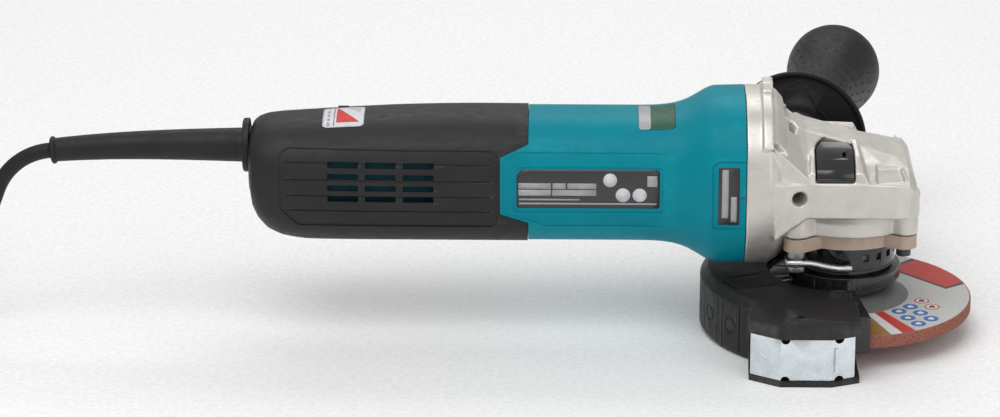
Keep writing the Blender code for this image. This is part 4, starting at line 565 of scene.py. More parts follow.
def tube(name, points, radius, mat, radii=None, sides=5):
    curve = bpy.data.curves.new(name, "CURVE")
    curve.dimensions = "3D"
    curve.bevel_depth = radius
    curve.bevel_resolution = sides
    curve.use_fill_caps = True
    spline = curve.splines.new("POLY")
    spline.points.add(len(points) - 1)
    for k, (spot, point) in enumerate(zip(spline.points, points)):
        spot.co = (*point, 1.0)
        spot.radius = radii[k] if radii else 1.0
    obj = bpy.data.objects.new(name, curve)
    bpy.context.scene.collection.objects.link(obj)
    curve.materials.append(mat)
    return obj


def solid_tube(name, points, radius, mat=None, radii=None, sides=8):
    """A tube as a mesh, with the same section everywhere."""
    rings = []
    count = sides * 4
    for k, point in enumerate(points):
        ahead = Vector(points[min(k + 1, len(points) - 1)]) - Vector(points[max(k - 1, 0)])
        turn = ahead.to_track_quat("Z", "Y").to_matrix()
        size = radius * (radii[k] if radii else 1.0)
        ring = []
        for n in range(count):
            a = 2 * math.pi * n / count
            ring.append(Vector(point) + turn @ Vector((size * math.cos(a), size * math.sin(a), 0)))
        rings.append(ring)
    return loft(name, rings, mat)


def merged(name, pieces, mat=None):
    """Many objects' meshes as one object."""
    bm = bmesh.new()
    bpy.context.view_layer.update()
    for piece in pieces:
        before = len(bm.verts)
        bm.from_mesh(piece.data)
        bm.verts.ensure_lookup_table()
        bmesh.ops.transform(bm, matrix=piece.matrix_world, verts=bm.verts[before:])
        bpy.data.objects.remove(piece)
    return from_bmesh(name, bm, mat)


def settle(obj):
    """Applies a piece's modifiers, so that it moves without the cutters that shaped it."""
    if obj.modifiers:
        bpy.context.view_layer.update()
        graph = bpy.context.evaluated_depsgraph_get()
        obj.data, old = bpy.data.meshes.new_from_object(obj.evaluated_get(graph)), obj.data
        obj.modifiers.clear()
        bpy.data.meshes.remove(old)


def show(obj, body, slot, *nodes):
    """Says what a piece rides on and the CAD nodes it stands for; slot is not used."""
    settle(obj)
    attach(obj, body)
    if nodes:
        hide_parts(*nodes)
    return obj


def smoothstep(value):
    t = min(1.0, max(0.0, value))
    return t * t * (3 - 2 * t)


floor = box("floor", (-4.0, -4.0, FLOOR_Z - 0.02), (4.0, 4.0, FLOOR_Z), FLOOR_LOOK)


# ---- cord ---------------------------------------------------------------------------------
CORD_D = 7.6 * MM
CORD_BEND = 31.2 * MM
CORD_DROP = math.radians(69.0)
BOOT_END = Vector((-386.2, 0.0, 80.6)) * MM
BOOT_HEADING = Vector((-1.0, 0.0, -0.0955)).normalized()
BOOT_Z = 84 * MM
COIL_PITCH = 7.75 * MM
COIL_COLUMNS = 4
COIL_CENTRE = Vector(((coil_low[0] + coil_high[0]) / 2, (coil_low[1] + coil_high[1]) / 2, 0.0))
COIL_OUTER = (coil_high[0] - coil_low[0]) / 2 - 0.2 * MM - CORD_D / 2
LOW_Z = FLOOR_Z + CORD_D / 2 + 0.2 * MM
HIGH_Z = LOW_Z + COIL_PITCH


def steer(start, heading, moves, step):
    """Points along a run of straights and arcs, each move a (length, turn, axis)."""
    points, at, along = [Vector(start)], Vector(start), Vector(heading)
    for length, angle, axis in moves:
        count = max(1, round(length / step))
        bit = Matrix.Rotation(angle / count / 2, 3, axis)
        for _ in range(count):
            along = bit @ along
            at = at + along * (length / count)
            along = bit @ along
            points.append(at.copy())
    return points


def lead_points():
    """Down from the boot to where the cord meets the coil's top row."""
    first = math.asin(-BOOT_HEADING.z)
    start = BOOT_END + BOOT_HEADING * (2 * GAP)
    fall = start.z - HIGH_Z
    bends = CORD_BEND * (math.cos(first) - math.cos(CORD_DROP)), CORD_BEND * (1 - math.cos(CORD_DROP))
    straight = (fall - bends[0] - bends[1]) / math.sin(CORD_DROP)
    run = CORD_BEND * (2 * math.sin(CORD_DROP) - math.sin(first)) + straight * math.cos(CORD_DROP)
    last = start.x - run - COIL_CENTRE.x
    moves = [
        (CORD_BEND * (CORD_DROP - first), -(CORD_DROP - first), "Y"), (straight, 0.0, "Y"),
        (CORD_BEND * CORD_DROP, CORD_DROP, "Y"), (last, 0.0, "Y"),
    ]
    return steer(start, BOOT_HEADING, moves, 3 * MM)


def coil_points():
    """Clockwise from above: the top row inwards, then the bottom row outwards."""
    points = []
    steps = 64
    inner = COIL_OUTER - (COIL_COLUMNS - 1) * COIL_PITCH
    for row, (z, radii) in enumerate(((HIGH_Z, (COIL_OUTER, inner)), (LOW_Z, (inner, COIL_OUTER)))):
        turns = COIL_COLUMNS if row == 0 else COIL_COLUMNS - 0.75
        count = round(steps * turns)
        for k in range(1, count + 1):
            a = math.radians(-90) - 2 * math.pi * k / steps
            share = min(1.0, max(0.0, k / steps / turns))
            level = COIL_COLUMNS - 1
            slot = min(level, int(share * turns))
            within = share * turns - slot
            climb = smoothstep((within - 0.80) / 0.20)
            index = min(level, slot + climb) if row == 0 else level - min(level, slot + climb)
            radius = COIL_OUTER - index * COIL_PITCH
            points.append(
                Vector((COIL_CENTRE.x + radius * math.cos(a), COIL_CENTRE.y + radius * math.sin(a), z))
            )
    return points


def tail_points():
    heading = Vector((0.0, 1.0, 0.0))
    start = Vector((COIL_CENTRE.x - COIL_OUTER, COIL_CENTRE.y, LOW_Z))
    reach = math.sqrt((COIL_OUTER + CORD_D / 2 + 0.2 * MM) ** 2 - (COIL_OUTER - CORD_D / 2) ** 2) + 2 * GAP
    moves = [(reach + 10 * MM, 0.0, "Z"), (24 * MM, math.radians(-38), "Z"), (6 * MM, 0.0, "Z")]
    return steer(start, heading, moves, 3 * MM)


def level_change(points, first, last):
    """Eases the cord from the top row to the bottom row between two indices."""
    for k in range(first, last + 1):
        share = smoothstep((k - first) / (last - first))
        points[k].z = HIGH_Z + (LOW_Z - HIGH_Z) * share
    return points


def make_cord():
    lead, coil, tail = lead_points(), coil_points(), tail_points()
    crossing = 64 * COIL_COLUMNS
    coil = level_change(coil, crossing - 14, crossing + 10)
    points = lead + coil + tail[1:]
    length = sum((b - a).length for a, b in zip(points, points[1:]))
    cord = tube("mains_cord", points, CORD_D / 2, CORD_BLACK, sides=6)
    return cord, points, length


def make_plug(points):
    """A moulded two-pin plug with ribs on its grip and insulated pins."""
    rows = (
        (0.0, 5.8, 5.8), (1.0, 6.2, 6.2), (9.0, 6.6, 6.6), (12.0, 9.0, 7.2), (15.0, 12.0, 7.8),
        (24.0, 15.5, 8.6), (33.0, 16.5, 8.8), (39.0, 17.8, 8.8), (40.2, 17.4, 8.3),
        (40.5, 16.6, 7.6),
    )
    rings = [
        [(d * MM, y, z) for _, y, z in section(0, 0, half_y * MM, half_z * MM, 2.6, 64)]
        for d, half_y, half_z in rows
    ]
    body = loft("plug_body", rings, RUBBER)
    ribs = []
    for side in (-1, 1):
        for k in range(4):
            ribs.append(
                box(
                    f"grip_slot_{side}_{k}",
                    ((17 + 4 * k) * MM, -7 * MM, side * 9.4 * MM - 1.2 * MM),
                    ((18.4 + 4 * k) * MM, 7 * MM, side * 9.4 * MM + 1.2 * MM),
                )
            )
    pins, sleeves = [], []
    for k, side in enumerate((-1, 1)):
        centre = (0, side * 9.5 * MM, 0)
        pins.append(
            turned(
                f"pin_{k}",
                [
                    (0, 48 * MM), (2.35 * MM, 48 * MM), (2.35 * MM, 58.3 * MM),
                    (1.6 * MM, 59.5 * MM), (0, 59.5 * MM),
                ],
                BRASS, "X", centre, 32, 0.3 * MM,
            )
        )
        sleeves.append(span(f"pin_sleeve_{k}", 1.95 * MM, 38 * MM, 48.5 * MM, "X", centre, RUBBER, 32))
    slots = merged("grip_slots", ribs)
    heading = (points[-1] - points[-2]).normalized()
    at = points[-1] + heading * GAP
    at.z = FLOOR_Z + 8.9 * MM
    turn = Matrix.Translation(at) @ Matrix.Rotation(math.atan2(heading.y, heading.x), 4, "Z")
    for piece in [body, slots] + pins + sleeves:
        piece.matrix_world = turn @ piece.matrix_world
    cut(body, [slots])
    return body, pins + sleeves


cord, cord_points, cord_length = make_cord()
plug_body, plug_metal = make_plug(cord_points)
show(cord, "housing", "cord_rubber", "cord_lead", "cord_coil", "cord_tail")
show(plug_body, "housing", "cord_rubber", "plug")
for piece in plug_metal:
    show(piece, "housing", "cord_rubber")


# ---- motor housing --------------------------------------------------------------------------
TONGUE_X = SEAM_X - 13.5 * MM
TONGUE = (
    (0.004, -0.0175), (0.0002, -0.0165), (-0.0135, -0.0115), (-0.0135, 0.0165), (0.0002, 0.0225),
    (0.004, 0.0235),
)
CHASSIS_R = BARREL_R - WALL - 0.4 * MM
CHASSIS_END_X = -262 * MM
SLEEVE_X = SEAM_X - 16 * MM
RAIL_Y = 21.5 * MM
SWITCH_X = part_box("switch_slider")[0][0] + 11.5 * MM
SCREW_X = (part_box("cover_screw")[0][0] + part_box("cover_screw")[1][0]) / 2


def motor_profile():
    """(x, radius) along the motor housing: the barrel, then the flare up to the gear head."""
    rise = FLARE_R - BARREL_R
    shares = (
        (-0.1000, 0.0), (-0.0955, 0.008), (-0.0910, 0.03), (-0.0875, 0.065), (-0.0840, 0.12),
        (-0.0805, 0.21), (-0.0770, 0.34), (-0.0740, 0.50), (-0.0710, 0.67), (-0.0688, 0.80),
        (-0.0665, 0.90), (-0.0648, 0.945), (-0.0630, 0.965),
    )
    return [(SEAM_X, BARREL_R)] + [
        (x, BARREL_R + rise * share)
        for x, share in shares
    ] + [(HEAD_X, FLARE_R)]


def motor_radius(x):
    profile = motor_profile()
    for (x0, r0), (x1, r1) in zip(profile, profile[1:]):
        if x0 <= x <= x1:
            return r0 + (r1 - r0) * (x - x0) / (x1 - x0)
    return BARREL_R


def motor_skin(name, low_x, high_x, grow, mat=None):
    stations = [low_x] + [x for x, _ in motor_profile() if low_x < x < high_x] + [high_x]
    return loft(
        name, [section(x, MOTOR_Z, motor_radius(x) + grow, motor_radius(x) + grow) for x in stations], mat
    )


def prism(name, outline, side, low_y, high_y):
    """A block through one flank: an outline of (x, z from the motor's axis) swept along Y."""
    points = [(x, side * y, MOTOR_Z + z) for x, z in outline for y in (low_y, high_y)]
    return hull(name, points)


def rounded_outline(low, high, radius, steps=6):
    """A rectangle with round corners as (x, z) points; radius is one number or one for each corner."""
    radii = radius if hasattr(radius, "__len__") else (radius,) * 4
    corners = ((low[0], low[1], 180), (high[0], low[1], 270), (high[0], high[1], 0), (low[0], high[1], 90))
    points = []
    for (x, z, start), r in zip(corners, radii):
        sx, sz = (1 if x == low[0] else -1), (1 if z == low[1] else -1)
        for k in range(steps + 1):
            a = math.radians(start + 90 * k / steps)
            points.append((x + sx * r + r * math.cos(a), z + sz * r + r * math.sin(a)))
    return points


def tongue_outline(clearance=0.0):
    middle = Vector((SEAM_X, 2.5 * MM))
    points = []
    for dx, z in TONGUE:
        out = Vector((SEAM_X + dx, z)) - middle
        points.append(tuple(middle + out + out.normalized() * clearance))
    return points


PANEL_TOP, PANEL_LOW = 18.9 * MM, -18.0 * MM
PANEL_END_X = -83.4 * MM
PANEL_DEPTH = 0.35 * MM  # of the flat panel on each flank, which fades out towards the flare
LABEL_DEPTH = 0.75 * MM
RECESS = ((-161.0 * MM, -10.4 * MM), (-89.5 * MM, 12.3 * MM))
FRAME = ((-66.2 * MM, -15.4 * MM), (-51.6 * MM, 18.6 * MM))
FRAME_DEPTH = 0.75 * MM


def label_outline(corners, inset=0.0):
    """A rectangle with its upper rear corner cut off, as (x, z) points."""
    (low_x, low_z), (high_x, high_z) = corners
    low_x, low_z, high_x, high_z = low_x + inset, low_z + inset, high_x - inset, high_z - inset
    outline = rounded_outline((low_x, low_z), (high_x, high_z), 1.2 * MM)
    outline = [point for point in outline if point[0] > low_x + 2.6 * MM or point[1] < high_z - 2.6 * MM]
    return outline + [(low_x + 2.6 * MM, high_z), (low_x, high_z - 2.6 * MM)]


def panel_outline():
    """The flank's flat panel: it follows the tongue's edges at the rear and has round front corners."""
    inset = 1.3 * MM
    rear_x = TONGUE_X + inset
    front = rounded_outline((SEAM_X, PANEL_LOW), (PANEL_END_X, PANEL_TOP), 3.2 * MM)
    front = [point for point in front if point[0] > SEAM_X + 9 * MM]
    rear = [
        (SEAM_X - 4.7 * MM, PANEL_TOP), (rear_x, 15.6 * MM), (rear_x, -10.5 * MM),
        (SEAM_X + 4 * MM, -16.2 * MM),
    ]
    return front + rear + [(SEAM_X + 9 * MM, PANEL_LOW)]


def panel_floor(name, depth):
    """The skin at this depth, which rises to the barrel's surface before the panel's front end."""
    stations = (
        SEAM_X - 20 * MM, SEAM_X, -110 * MM, -97 * MM, -93 * MM, -89 * MM, -86 * MM, -84 * MM, PANEL_END_X
    )
    rings = []
    for x in stations:
        share = 1 - smoothstep((x + 97 * MM) / (13 * MM))
        radius = motor_radius(x) - depth * share + 0.03 * MM * (1 - share)
        rings.append(section(x, MOTOR_Z, radius, radius))
    return loft(name, rings)


def motor_housing():
    body = motor_skin("motor_body", SEAM_X, HEAD_X, 0.0, TEAL)
    hollow = motor_skin("motor_hollow", SEAM_X - 5 * MM, HEAD_X + 5 * MM, -WALL)
    cuts = []
    for side in (-1, 1):
        panel = prism(f"side_panel_{side}", panel_outline(), side, 15 * MM, 45 * MM)
        cuts.append(cut(panel, [panel_floor(f"panel_floor_{side}", PANEL_DEPTH)]))
        if side < 0:
            floor_of = motor_skin("recess_floor", SEAM_X - 20 * MM, PANEL_END_X, -LABEL_DEPTH)
            recess = prism("label_recess", label_outline(RECESS), side, 15 * MM, 45 * MM)
            cuts.append(cut(recess, [floor_of]))
        edge = prism(
            f"front_frame_{side}",
            rounded_outline(
                (FRAME[0][0], FRAME[0][1]), (HEAD_X + 3 * MM, FRAME[1][1]),
                (1.5 * MM, 0.1 * MM, 0.1 * MM, 4 * MM),
            ),
            side, 15 * MM, 55 * MM,
        )
        edge_floor = motor_skin(
            f"frame_floor_{side}", FRAME[0][0] - 3 * MM, HEAD_X + 0.1 * MM, -FRAME_DEPTH
        )
        cuts.append(cut(edge, [edge_floor]))
    sleeve = loft(
        "chassis_sleeve", [section(x, MOTOR_Z, CHASSIS_R, CHASSIS_R) for x in (SLEEVE_X, SEAM_X + 6 * MM)]
    )
    step = loft(
        "chassis_step",
        [section(x, MOTOR_Z, BARREL_R - MM, BARREL_R - MM) for x in (SEAM_X + 0.5 * MM, SEAM_X + 6 * MM)],
    )
    tongues = []
    for side in (-1, 1):
        tongue = prism(f"tongue_{side}", tongue_outline(), side, 22 * MM, BARREL_R + 4 * MM)
        skin_r = BARREL_R - 0.05 * MM
        tongues.append(
            keep_inside(
                tongue,
                [
                    loft(
                        f"tongue_skin_{side}",
                        [section(x, MOTOR_Z, skin_r, skin_r) for x in (SEAM_X - 30 * MM, SEAM_X + 20 * MM)],
                    )
                ],
            )
        )
    hollow_r = CHASSIS_R - WALL
    sleeve_hollow = loft(
        "sleeve_hollow",
        [section(x, MOTOR_Z, hollow_r, hollow_r) for x in (SEAM_X - 9.5 * MM, SEAM_X + 20 * MM)],
    )
    rails = [
        box(
            f"rail_{side}", (CHASSIS_END_X, side * RAIL_Y - 1.1 * MM, MOTOR_Z - 13.5 * MM),
            (SLEEVE_X + 2 * MM, side * RAIL_Y + 1.1 * MM, MOTOR_Z + 11.5 * MM),
        )
        for side in (-1, 1)
    ]
    rails.append(
        box(
            "chassis_floor", (CHASSIS_END_X, -RAIL_Y - 1.1 * MM, MOTOR_Z - 15.5 * MM),
            (SLEEVE_X + 2 * MM, RAIL_Y + 1.1 * MM, MOTOR_Z - 13.2 * MM),
        )
    )
    seat = span("rear_bearing_seat", 11.3 * MM, SEAM_X - 13.5 * MM, SEAM_X, "X", (0, 0, MOTOR_Z))
    way = span("rear_shaft_way", 6.2 * MM, SEAM_X - 30 * MM, SEAM_X, "X", (0, 0, MOTOR_Z))
    slot = box(
        "switch_slot", (SWITCH_X - 14 * MM, BARREL_R - 6 * MM, MOTOR_Z - 3.8 * MM),
        (SWITCH_X + 20 * MM, BARREL_R + 4 * MM, MOTOR_Z + 3.8 * MM),
    )
    screw_way = span(
        "floor_screw_way", 1.6 * MM, MOTOR_Z - 20 * MM, MOTOR_Z - 10 * MM, "Z", (SCREW_X, 0, 0), steps=16
    )
    cut(body, [hollow])
    join(body, [step, sleeve])
    cut(body, [sleeve_hollow])
    join(body, rails + tongues)
    cut(body, [seat, way, slot, screw_way] + cuts)
    rounded(body, 0.3 * MM, 2, 38)
    show(body, "housing", "teal_nylon", "motor_housing")


def patch(name, outline, side, x_range, low, high, mat):
    """A thin sheet that follows the barrel's flank between two heights over its skin."""
    sheet = prism(name, outline, side, 15 * MM, 50 * MM)
    sheet.hide_render = False
    CUTTERS.objects.unlink(sheet)
    bpy.context.scene.collection.objects.link(sheet)
    sheet.data.materials.append(mat)
    keep_inside(sheet, [motor_skin(f"{name}_outer", x_range[0], x_range[1], high)])
    cut(sheet, [motor_skin(f"{name}_inner", x_range[0] - MM, x_range[1] + MM, low)])
    return sheet


def side_label():
    """The dark rating label in its recess, with blank fields in place of the maker's print."""
    reach = (SEAM_X - 15 * MM, PANEL_END_X)
    corners = ((-159.5 * MM, -8.0 * MM), (-91.0 * MM, 11.1 * MM))
    base = patch(
        "rating_label", label_outline(corners), -1, reach, -LABEL_DEPTH + 0.02 * MM,
        -LABEL_DEPTH + 0.14 * MM, LABEL_DARK,
    )
    show(base, "housing", "black_nylon")
    cells = (
        (-158.7, 1.8, -143.1, 4.6), (-142.3, 1.8, -136.0, 4.6), (-135.2, 1.8, -121.4, 4.6),
        (-158.7, -1.6, -143.1, 1.3), (-142.5, -1.6, -121.4, 1.3), (-158.5, -4.0, -129.3, -3.2),
        (-158.5, -6.1, -92.5, -5.3), (-97.0, 3.1, -92.2, 8.3),
    )
    fields = [
        (rounded_outline((x0 * MM, z0 * MM), (x1 * MM, z1 * MM), 0.2 * MM), LABEL_GREY)
        for x0, z0, x1, z1 in cells
    ]
    for x, z, radius in ((-114.8, 6.2, 3.3), (-108.6, -1.2, 3.5), (-100.6, -1.2, 3.4)):
        turns = (2 * math.pi * n / 32 for n in range(32))
        fields.append(
            (
                [(x * MM + radius * MM * math.cos(a), z * MM + radius * MM * math.sin(a)) for a in turns],
                LABEL_WHITE,
            )
        )
    for k, (outline, mat) in enumerate(fields):
        top = (-LABEL_DEPTH + 0.10 * MM, -LABEL_DEPTH + 0.19 * MM)
        show(patch(f"rating_field_{k}", outline, -1, reach, *top, mat), "housing", "black_nylon")


def serial_label():
    """The narrow upright label on the front ring, with two light bars, and the black tick beside it."""
    reach = (FRAME[0][0] - MM, HEAD_X)
    low, high = -FRAME_DEPTH, -FRAME_DEPTH + 0.14 * MM
    plate = patch(
        "serial_label",
        rounded_outline((-63.3 * MM, -12.9 * MM), (-53.2 * MM, 15.6 * MM), 0.8 * MM), -1, reach,
        low + 0.02 * MM, high, LABEL_DARK,
    )
    show(plate, "housing", "black_nylon")
    bars = (
        ((-61.6 * MM, -9.3 * MM), (-58.5 * MM, 14.6 * MM)),
        ((-57.3 * MM, -11.3 * MM), (-54.5 * MM, 1.6 * MM)),
    )
    for k, (near, far) in enumerate(bars):
        show(
            patch(
                f"serial_bar_{k}", rounded_outline(near, far, 0.3 * MM), -1, reach, low + 0.1 * MM,
                high + 0.06 * MM, LABEL_GREY,
            ),
            "housing",
            "black_nylon",
        )
    tick = patch(
        "index_mark",
        rounded_outline((-53.0 * MM, 0.9 * MM), (HEAD_X - 0.5 * MM, 1.3 * MM), 0.1 * MM), -1, reach,
        low, high, LABEL_DARK,
    )
    show(tick, "housing", "black_nylon")


def motor_surface(x):
    radius = motor_radius(x)
    return radius, radius, MOTOR_Z


def shoulder_point(surface, x, degrees, lift):
    """A point over the skin at x, this far round from the top towards the camera's side."""
    half_y, half_z, middle_z = surface(x)
    across, up = math.sin(math.radians(degrees)), math.cos(math.radians(degrees))
    y = -half_y * math.copysign(abs(across) ** (2 / SQUARE), across)
    z = half_z * up ** (2 / SQUARE)
    slope_y = math.copysign(abs(y / half_y) ** (SQUARE - 1) / half_y, y)
    normal = Vector((0.0, slope_y, (z / half_z) ** (SQUARE - 1) / half_z)).normalized()
    return Vector((x, y, middle_z + z)) + normal * lift


def wrapped(name, surface, x_range, degrees, low, high, mat, corner=1.2 * MM):
    """A sticker on a shoulder, with round corners, from low to high over the skin."""
    rows, columns = 20, 16
    half_x = (x_range[1] - x_range[0]) / 2
    reach = math.radians(abs(degrees[1] - degrees[0])) * BARREL_R / 2
    bm = bmesh.new()
    grid = []
    for j in range(rows + 1):
        v = 2 * j / rows - 1
        edge = reach - abs(v) * reach
        inset = corner - math.sqrt(max(0.0, corner**2 - (corner - edge) ** 2)) if edge < corner else 0.0
        angle = (degrees[0] + degrees[1]) / 2 + v * (degrees[1] - degrees[0]) / 2
        line = []
        for i in range(columns + 1):
            x = (x_range[0] + x_range[1]) / 2 + (2 * i / columns - 1) * (half_x - inset)
            line.append(bm.verts.new(shoulder_point(surface, x, angle, low)))
        grid.append(line)
    for near, far in zip(grid, grid[1:]):
        for i in range(columns):
            bm.faces.new((near[i], near[i + 1], far[i + 1], far[i]))
    obj = from_bmesh(name, bm, mat)
    skin = obj.modifiers.new("skin", "SOLIDIFY")
    skin.thickness = high - low
    skin.offset = 1.0
    return obj


def quality_sticker():
    """The two-tone sticker on the barrel's shoulder."""
    whole, rear = (-101.2 * MM, -83.4 * MM), (-101.1 * MM, -95.3 * MM)
    base = wrapped("quality_sticker", motor_surface, whole, (-8, 32.8), 0.03 * MM, 0.13 * MM, LABEL_GREEN)
    half = wrapped(
        "quality_sticker_half", motor_surface, rear, (-7.8, 32.6), 0.13 * MM, 0.19 * MM,
        LABEL_GREY, 1.0 * MM,
    )
    for piece in (base, half):
        show(piece, "housing", "teal_nylon")


# ---- rear cover -----------------------------------------------------------------------------
def rear_rows(inset=0.0):
    """(x, half width, low, high) of the rear cover, low and high from the motor's axis."""
    rows = (
        (SEAM_X - GAP, 0.0322, -0.0325, 0.0325), (-0.185, 0.0322, -0.0325, 0.0325),
        (-0.215, 0.0319, -0.0325, 0.0318), (-0.240, 0.0313, -0.0325, 0.0305),
        (-0.262, 0.0304, -0.0322, 0.0291), (-0.2735, 0.0294, -0.0303, 0.0283),
        (-0.2805, 0.0278, -0.0268, 0.0274), (-0.2850, 0.0256, -0.0218, 0.0258),
        (-0.2876, 0.0226, -0.0162, 0.0236), (REAR_X, 0.0180, -0.0085, 0.0205),
    )
    return [(x, half_y - inset, low + inset, high - inset) for x, half_y, low, high in rows]


def smooth_rows(inset=0.0, finer=4):
    """The same rows with more between them, on a smooth curve through all of them."""
    rows = rear_rows(inset)
    made = []
    for k in range(len(rows) - 1):
        before, here, after, later = rows[max(k - 1, 0)], rows[k], rows[k + 1], rows[
            min(k + 2, len(rows) - 1)
        ]
        for n in range(finer):
            t = n / finer
            spot = []
            for p0, p1, p2, p3 in zip(before, here, after, later):
                spot.append(
                    0.5 * (
                        2 * p1 + (p2 - p0) * t + (
                            2 * p0 - 5 * p1 + 4 * p2 - p3
                        ) * t**2 + (3 * p1 - p0 - 3 * p2 + p3) * t**3
                    )
                )
            spot[0] = here[0] + (after[0] - here[0]) * t
            made.append(tuple(spot))
    made.append(rows[-1])
    return made


def rear_skin(name, inset, low_x=None, mat=None):
    rows = [row for row in smooth_rows(inset) if low_x is None or row[0] >= low_x]
    return loft(
        name,
        [section(x, MOTOR_Z + (low + high) / 2, half_y, (high - low) / 2) for x, half_y, low, high in rows],
        mat,
    )


VENT_X, VENT_STEP, VENT_WIDE = -250.3 * MM, 18.1 * MM, 14.8 * MM
VENT_TOP, VENT_PITCH, VENT_HIGH = 13.7 * MM, 5.5 * MM, 2.9 * MM
COVER_PANEL = ((-273.4 * MM, -18.9 * MM), (TONGUE_X - 1.1 * MM, 19.4 * MM))
GROOVES = (12.9 * MM, 5.1 * MM, -2.7 * MM, -10.4 * MM)
DIAL_TURN = 38.0
dial_low, dial_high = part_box("speed_dial")
DIAL_X = (dial_low[0] + dial_high[0]) / 2
DIAL_T = dial_high[0] - dial_low[0]
DIAL_R = (dial_high[2] - dial_low[2]) / 2
DIAL_CENTRE = (DIAL_X, (dial_low[1] + dial_high[1]) / 2, (dial_low[2] + dial_high[2]) / 2)


def rear_cover():
    body = rear_skin("rear_body", 0.0, mat=BLACK)
    rows = [(SEAM_X + 10 * MM, *smooth_rows(WALL)[0][1:])] + [
        row
        for row in smooth_rows(WALL)[1:] if row[0] > REAR_X + 4 * MM
    ]
    hollow = loft(
        "rear_hollow",
        [section(x, MOTOR_Z + (low + high) / 2, half_y, (high - low) / 2) for x, half_y, low, high in rows],
    )
    cuts, grooves, vents = [], [], []
    for side in (-1, 1):
        (rear_x, low_z), (front_x, high_z) = COVER_PANEL
        outline = [
            (rear_x, -10 * MM), (rear_x + 8.5 * MM, low_z), (front_x - 2.4 * MM, low_z),
            (front_x, low_z + 2.7 * MM), (front_x, high_z - 2.5 * MM),
            (front_x - 2.4 * MM, high_z), (rear_x + 4.5 * MM, high_z), (rear_x, 17.2 * MM),
        ]
        panel = prism(f"cover_panel_{side}", outline, side, 12 * MM, 45 * MM)
        lifted = cut(panel, [rear_skin(f"panel_floor_{side}", 0.5 * MM)])
        cuts.append(lifted)
        for k, z in enumerate(GROOVES):
            grooves.append(
                box(
                    f"groove_{side}_{k}",
                    (COVER_PANEL[0][0] + 3 * MM, side * 30 * MM - 9 * MM, MOTOR_Z + z - 0.35 * MM),
                    (TONGUE_X - 4.5 * MM, side * 30 * MM + 9 * MM, MOTOR_Z + z + 0.35 * MM),
                )
            )
        for row in range(4):
            for column in range(3):
                x, z = VENT_X + column * VENT_STEP, VENT_TOP - row * VENT_PITCH
                vents.append(
                    prism(
                        f"vent_{side}_{row}_{column}",
                        rounded_outline((x, z - VENT_HIGH), (x + VENT_WIDE, z), 0.3 * MM, 3), side,
                        22 * MM, 38 * MM,
                    )
                )
    groove_cutter = cut(merged("grooves", grooves), [rear_skin("groove_floor", 0.95 * MM)])
    tongues = [prism(f"tongue_way_{side}", tongue_outline(GAP), side, 20 * MM, 40 * MM) for side in (-1, 1)]
    boot_hole = span("boot_hole", 9.6 * MM, REAR_X - 10 * MM, REAR_X + 12 * MM, "X", (0, 0, BOOT_Z))
    dial_slot = box(
        "dial_slot", (-DIAL_T / 2 - 0.6 * MM, -10.5 * MM, -8 * MM),
        (DIAL_T / 2 + 0.6 * MM, 10.5 * MM, 8 * MM),
    )
    place(
        dial_slot, (DIAL_X, 0, MOTOR_Z),
        turn=Matrix.Rotation(math.radians(-DIAL_TURN), 4, "X") @ Matrix.Translation((0, 0, 28 * MM)),
    )
    screw_hole = span(
        "cover_screw_hole", 3.4 * MM, MOTOR_Z - 50 * MM, MOTOR_Z - 31.1 * MM, "Z", (SCREW_X, 0, 0), steps=32
    )
    shank_hole = span(
        "cover_shank_hole", 1.8 * MM, MOTOR_Z - 50 * MM, MOTOR_Z - 20 * MM, "Z", (SCREW_X, 0, 0), steps=16
    )
    cut(body, cuts + [groove_cutter, hollow])
    cut(body, [merged("vents", vents)] + tongues + [boot_hole, dial_slot, screw_hole, shank_hole])
    rounded(body, 0.3 * MM, 2, 38)
    show(body, "housing", "black_nylon", "rear_cover")


def vent_liner():
    """The teal chassis wall that shows through the vents, its teal darkened to a painted shade."""
    for side in (-1, 1):
        wall = box(
            f"chassis_wall_{side}",
            (CHASSIS_END_X + 2 * MM, side * 22.6 * MM - 0.6 * MM, MOTOR_Z - 11 * MM),
            (SLEEVE_X - 2 * MM, side * 22.6 * MM + 0.6 * MM, MOTOR_Z + 15.5 * MM), TEAL_PAINTED_SHADE,
            0.3 * MM,
        )
        show(wall, "housing", "teal_nylon")


def rear_surface(x):
    """Half width, half height and middle height of the rear cover at x."""
    rows = smooth_rows()
    for (x0, *near), (x1, *far) in zip(rows, rows[1:]):
        if x1 <= x <= x0:
            share = (x - x0) / (x1 - x0)
            half_y, low, high = (a + (b - a) * share for a, b in zip(near, far))
            return half_y, (high - low) / 2, MOTOR_Z + (high + low) / 2
    return rows[0][1], (rows[0][3] - rows[0][2]) / 2, MOTOR_Z


def shoulder_sheet(name, lines, mat):
    """A film through lines of points."""
    bm = bmesh.new()
    made = [[bm.verts.new(point) for point in line] for line in lines]
    for near, far in zip(made, made[1:]):
        for n in range(len(near) - 1):
            bm.faces.new((near[n], far[n], far[n + 1], near[n + 1]))
    show(from_bmesh(name, bm, mat), "housing", "black_nylon")


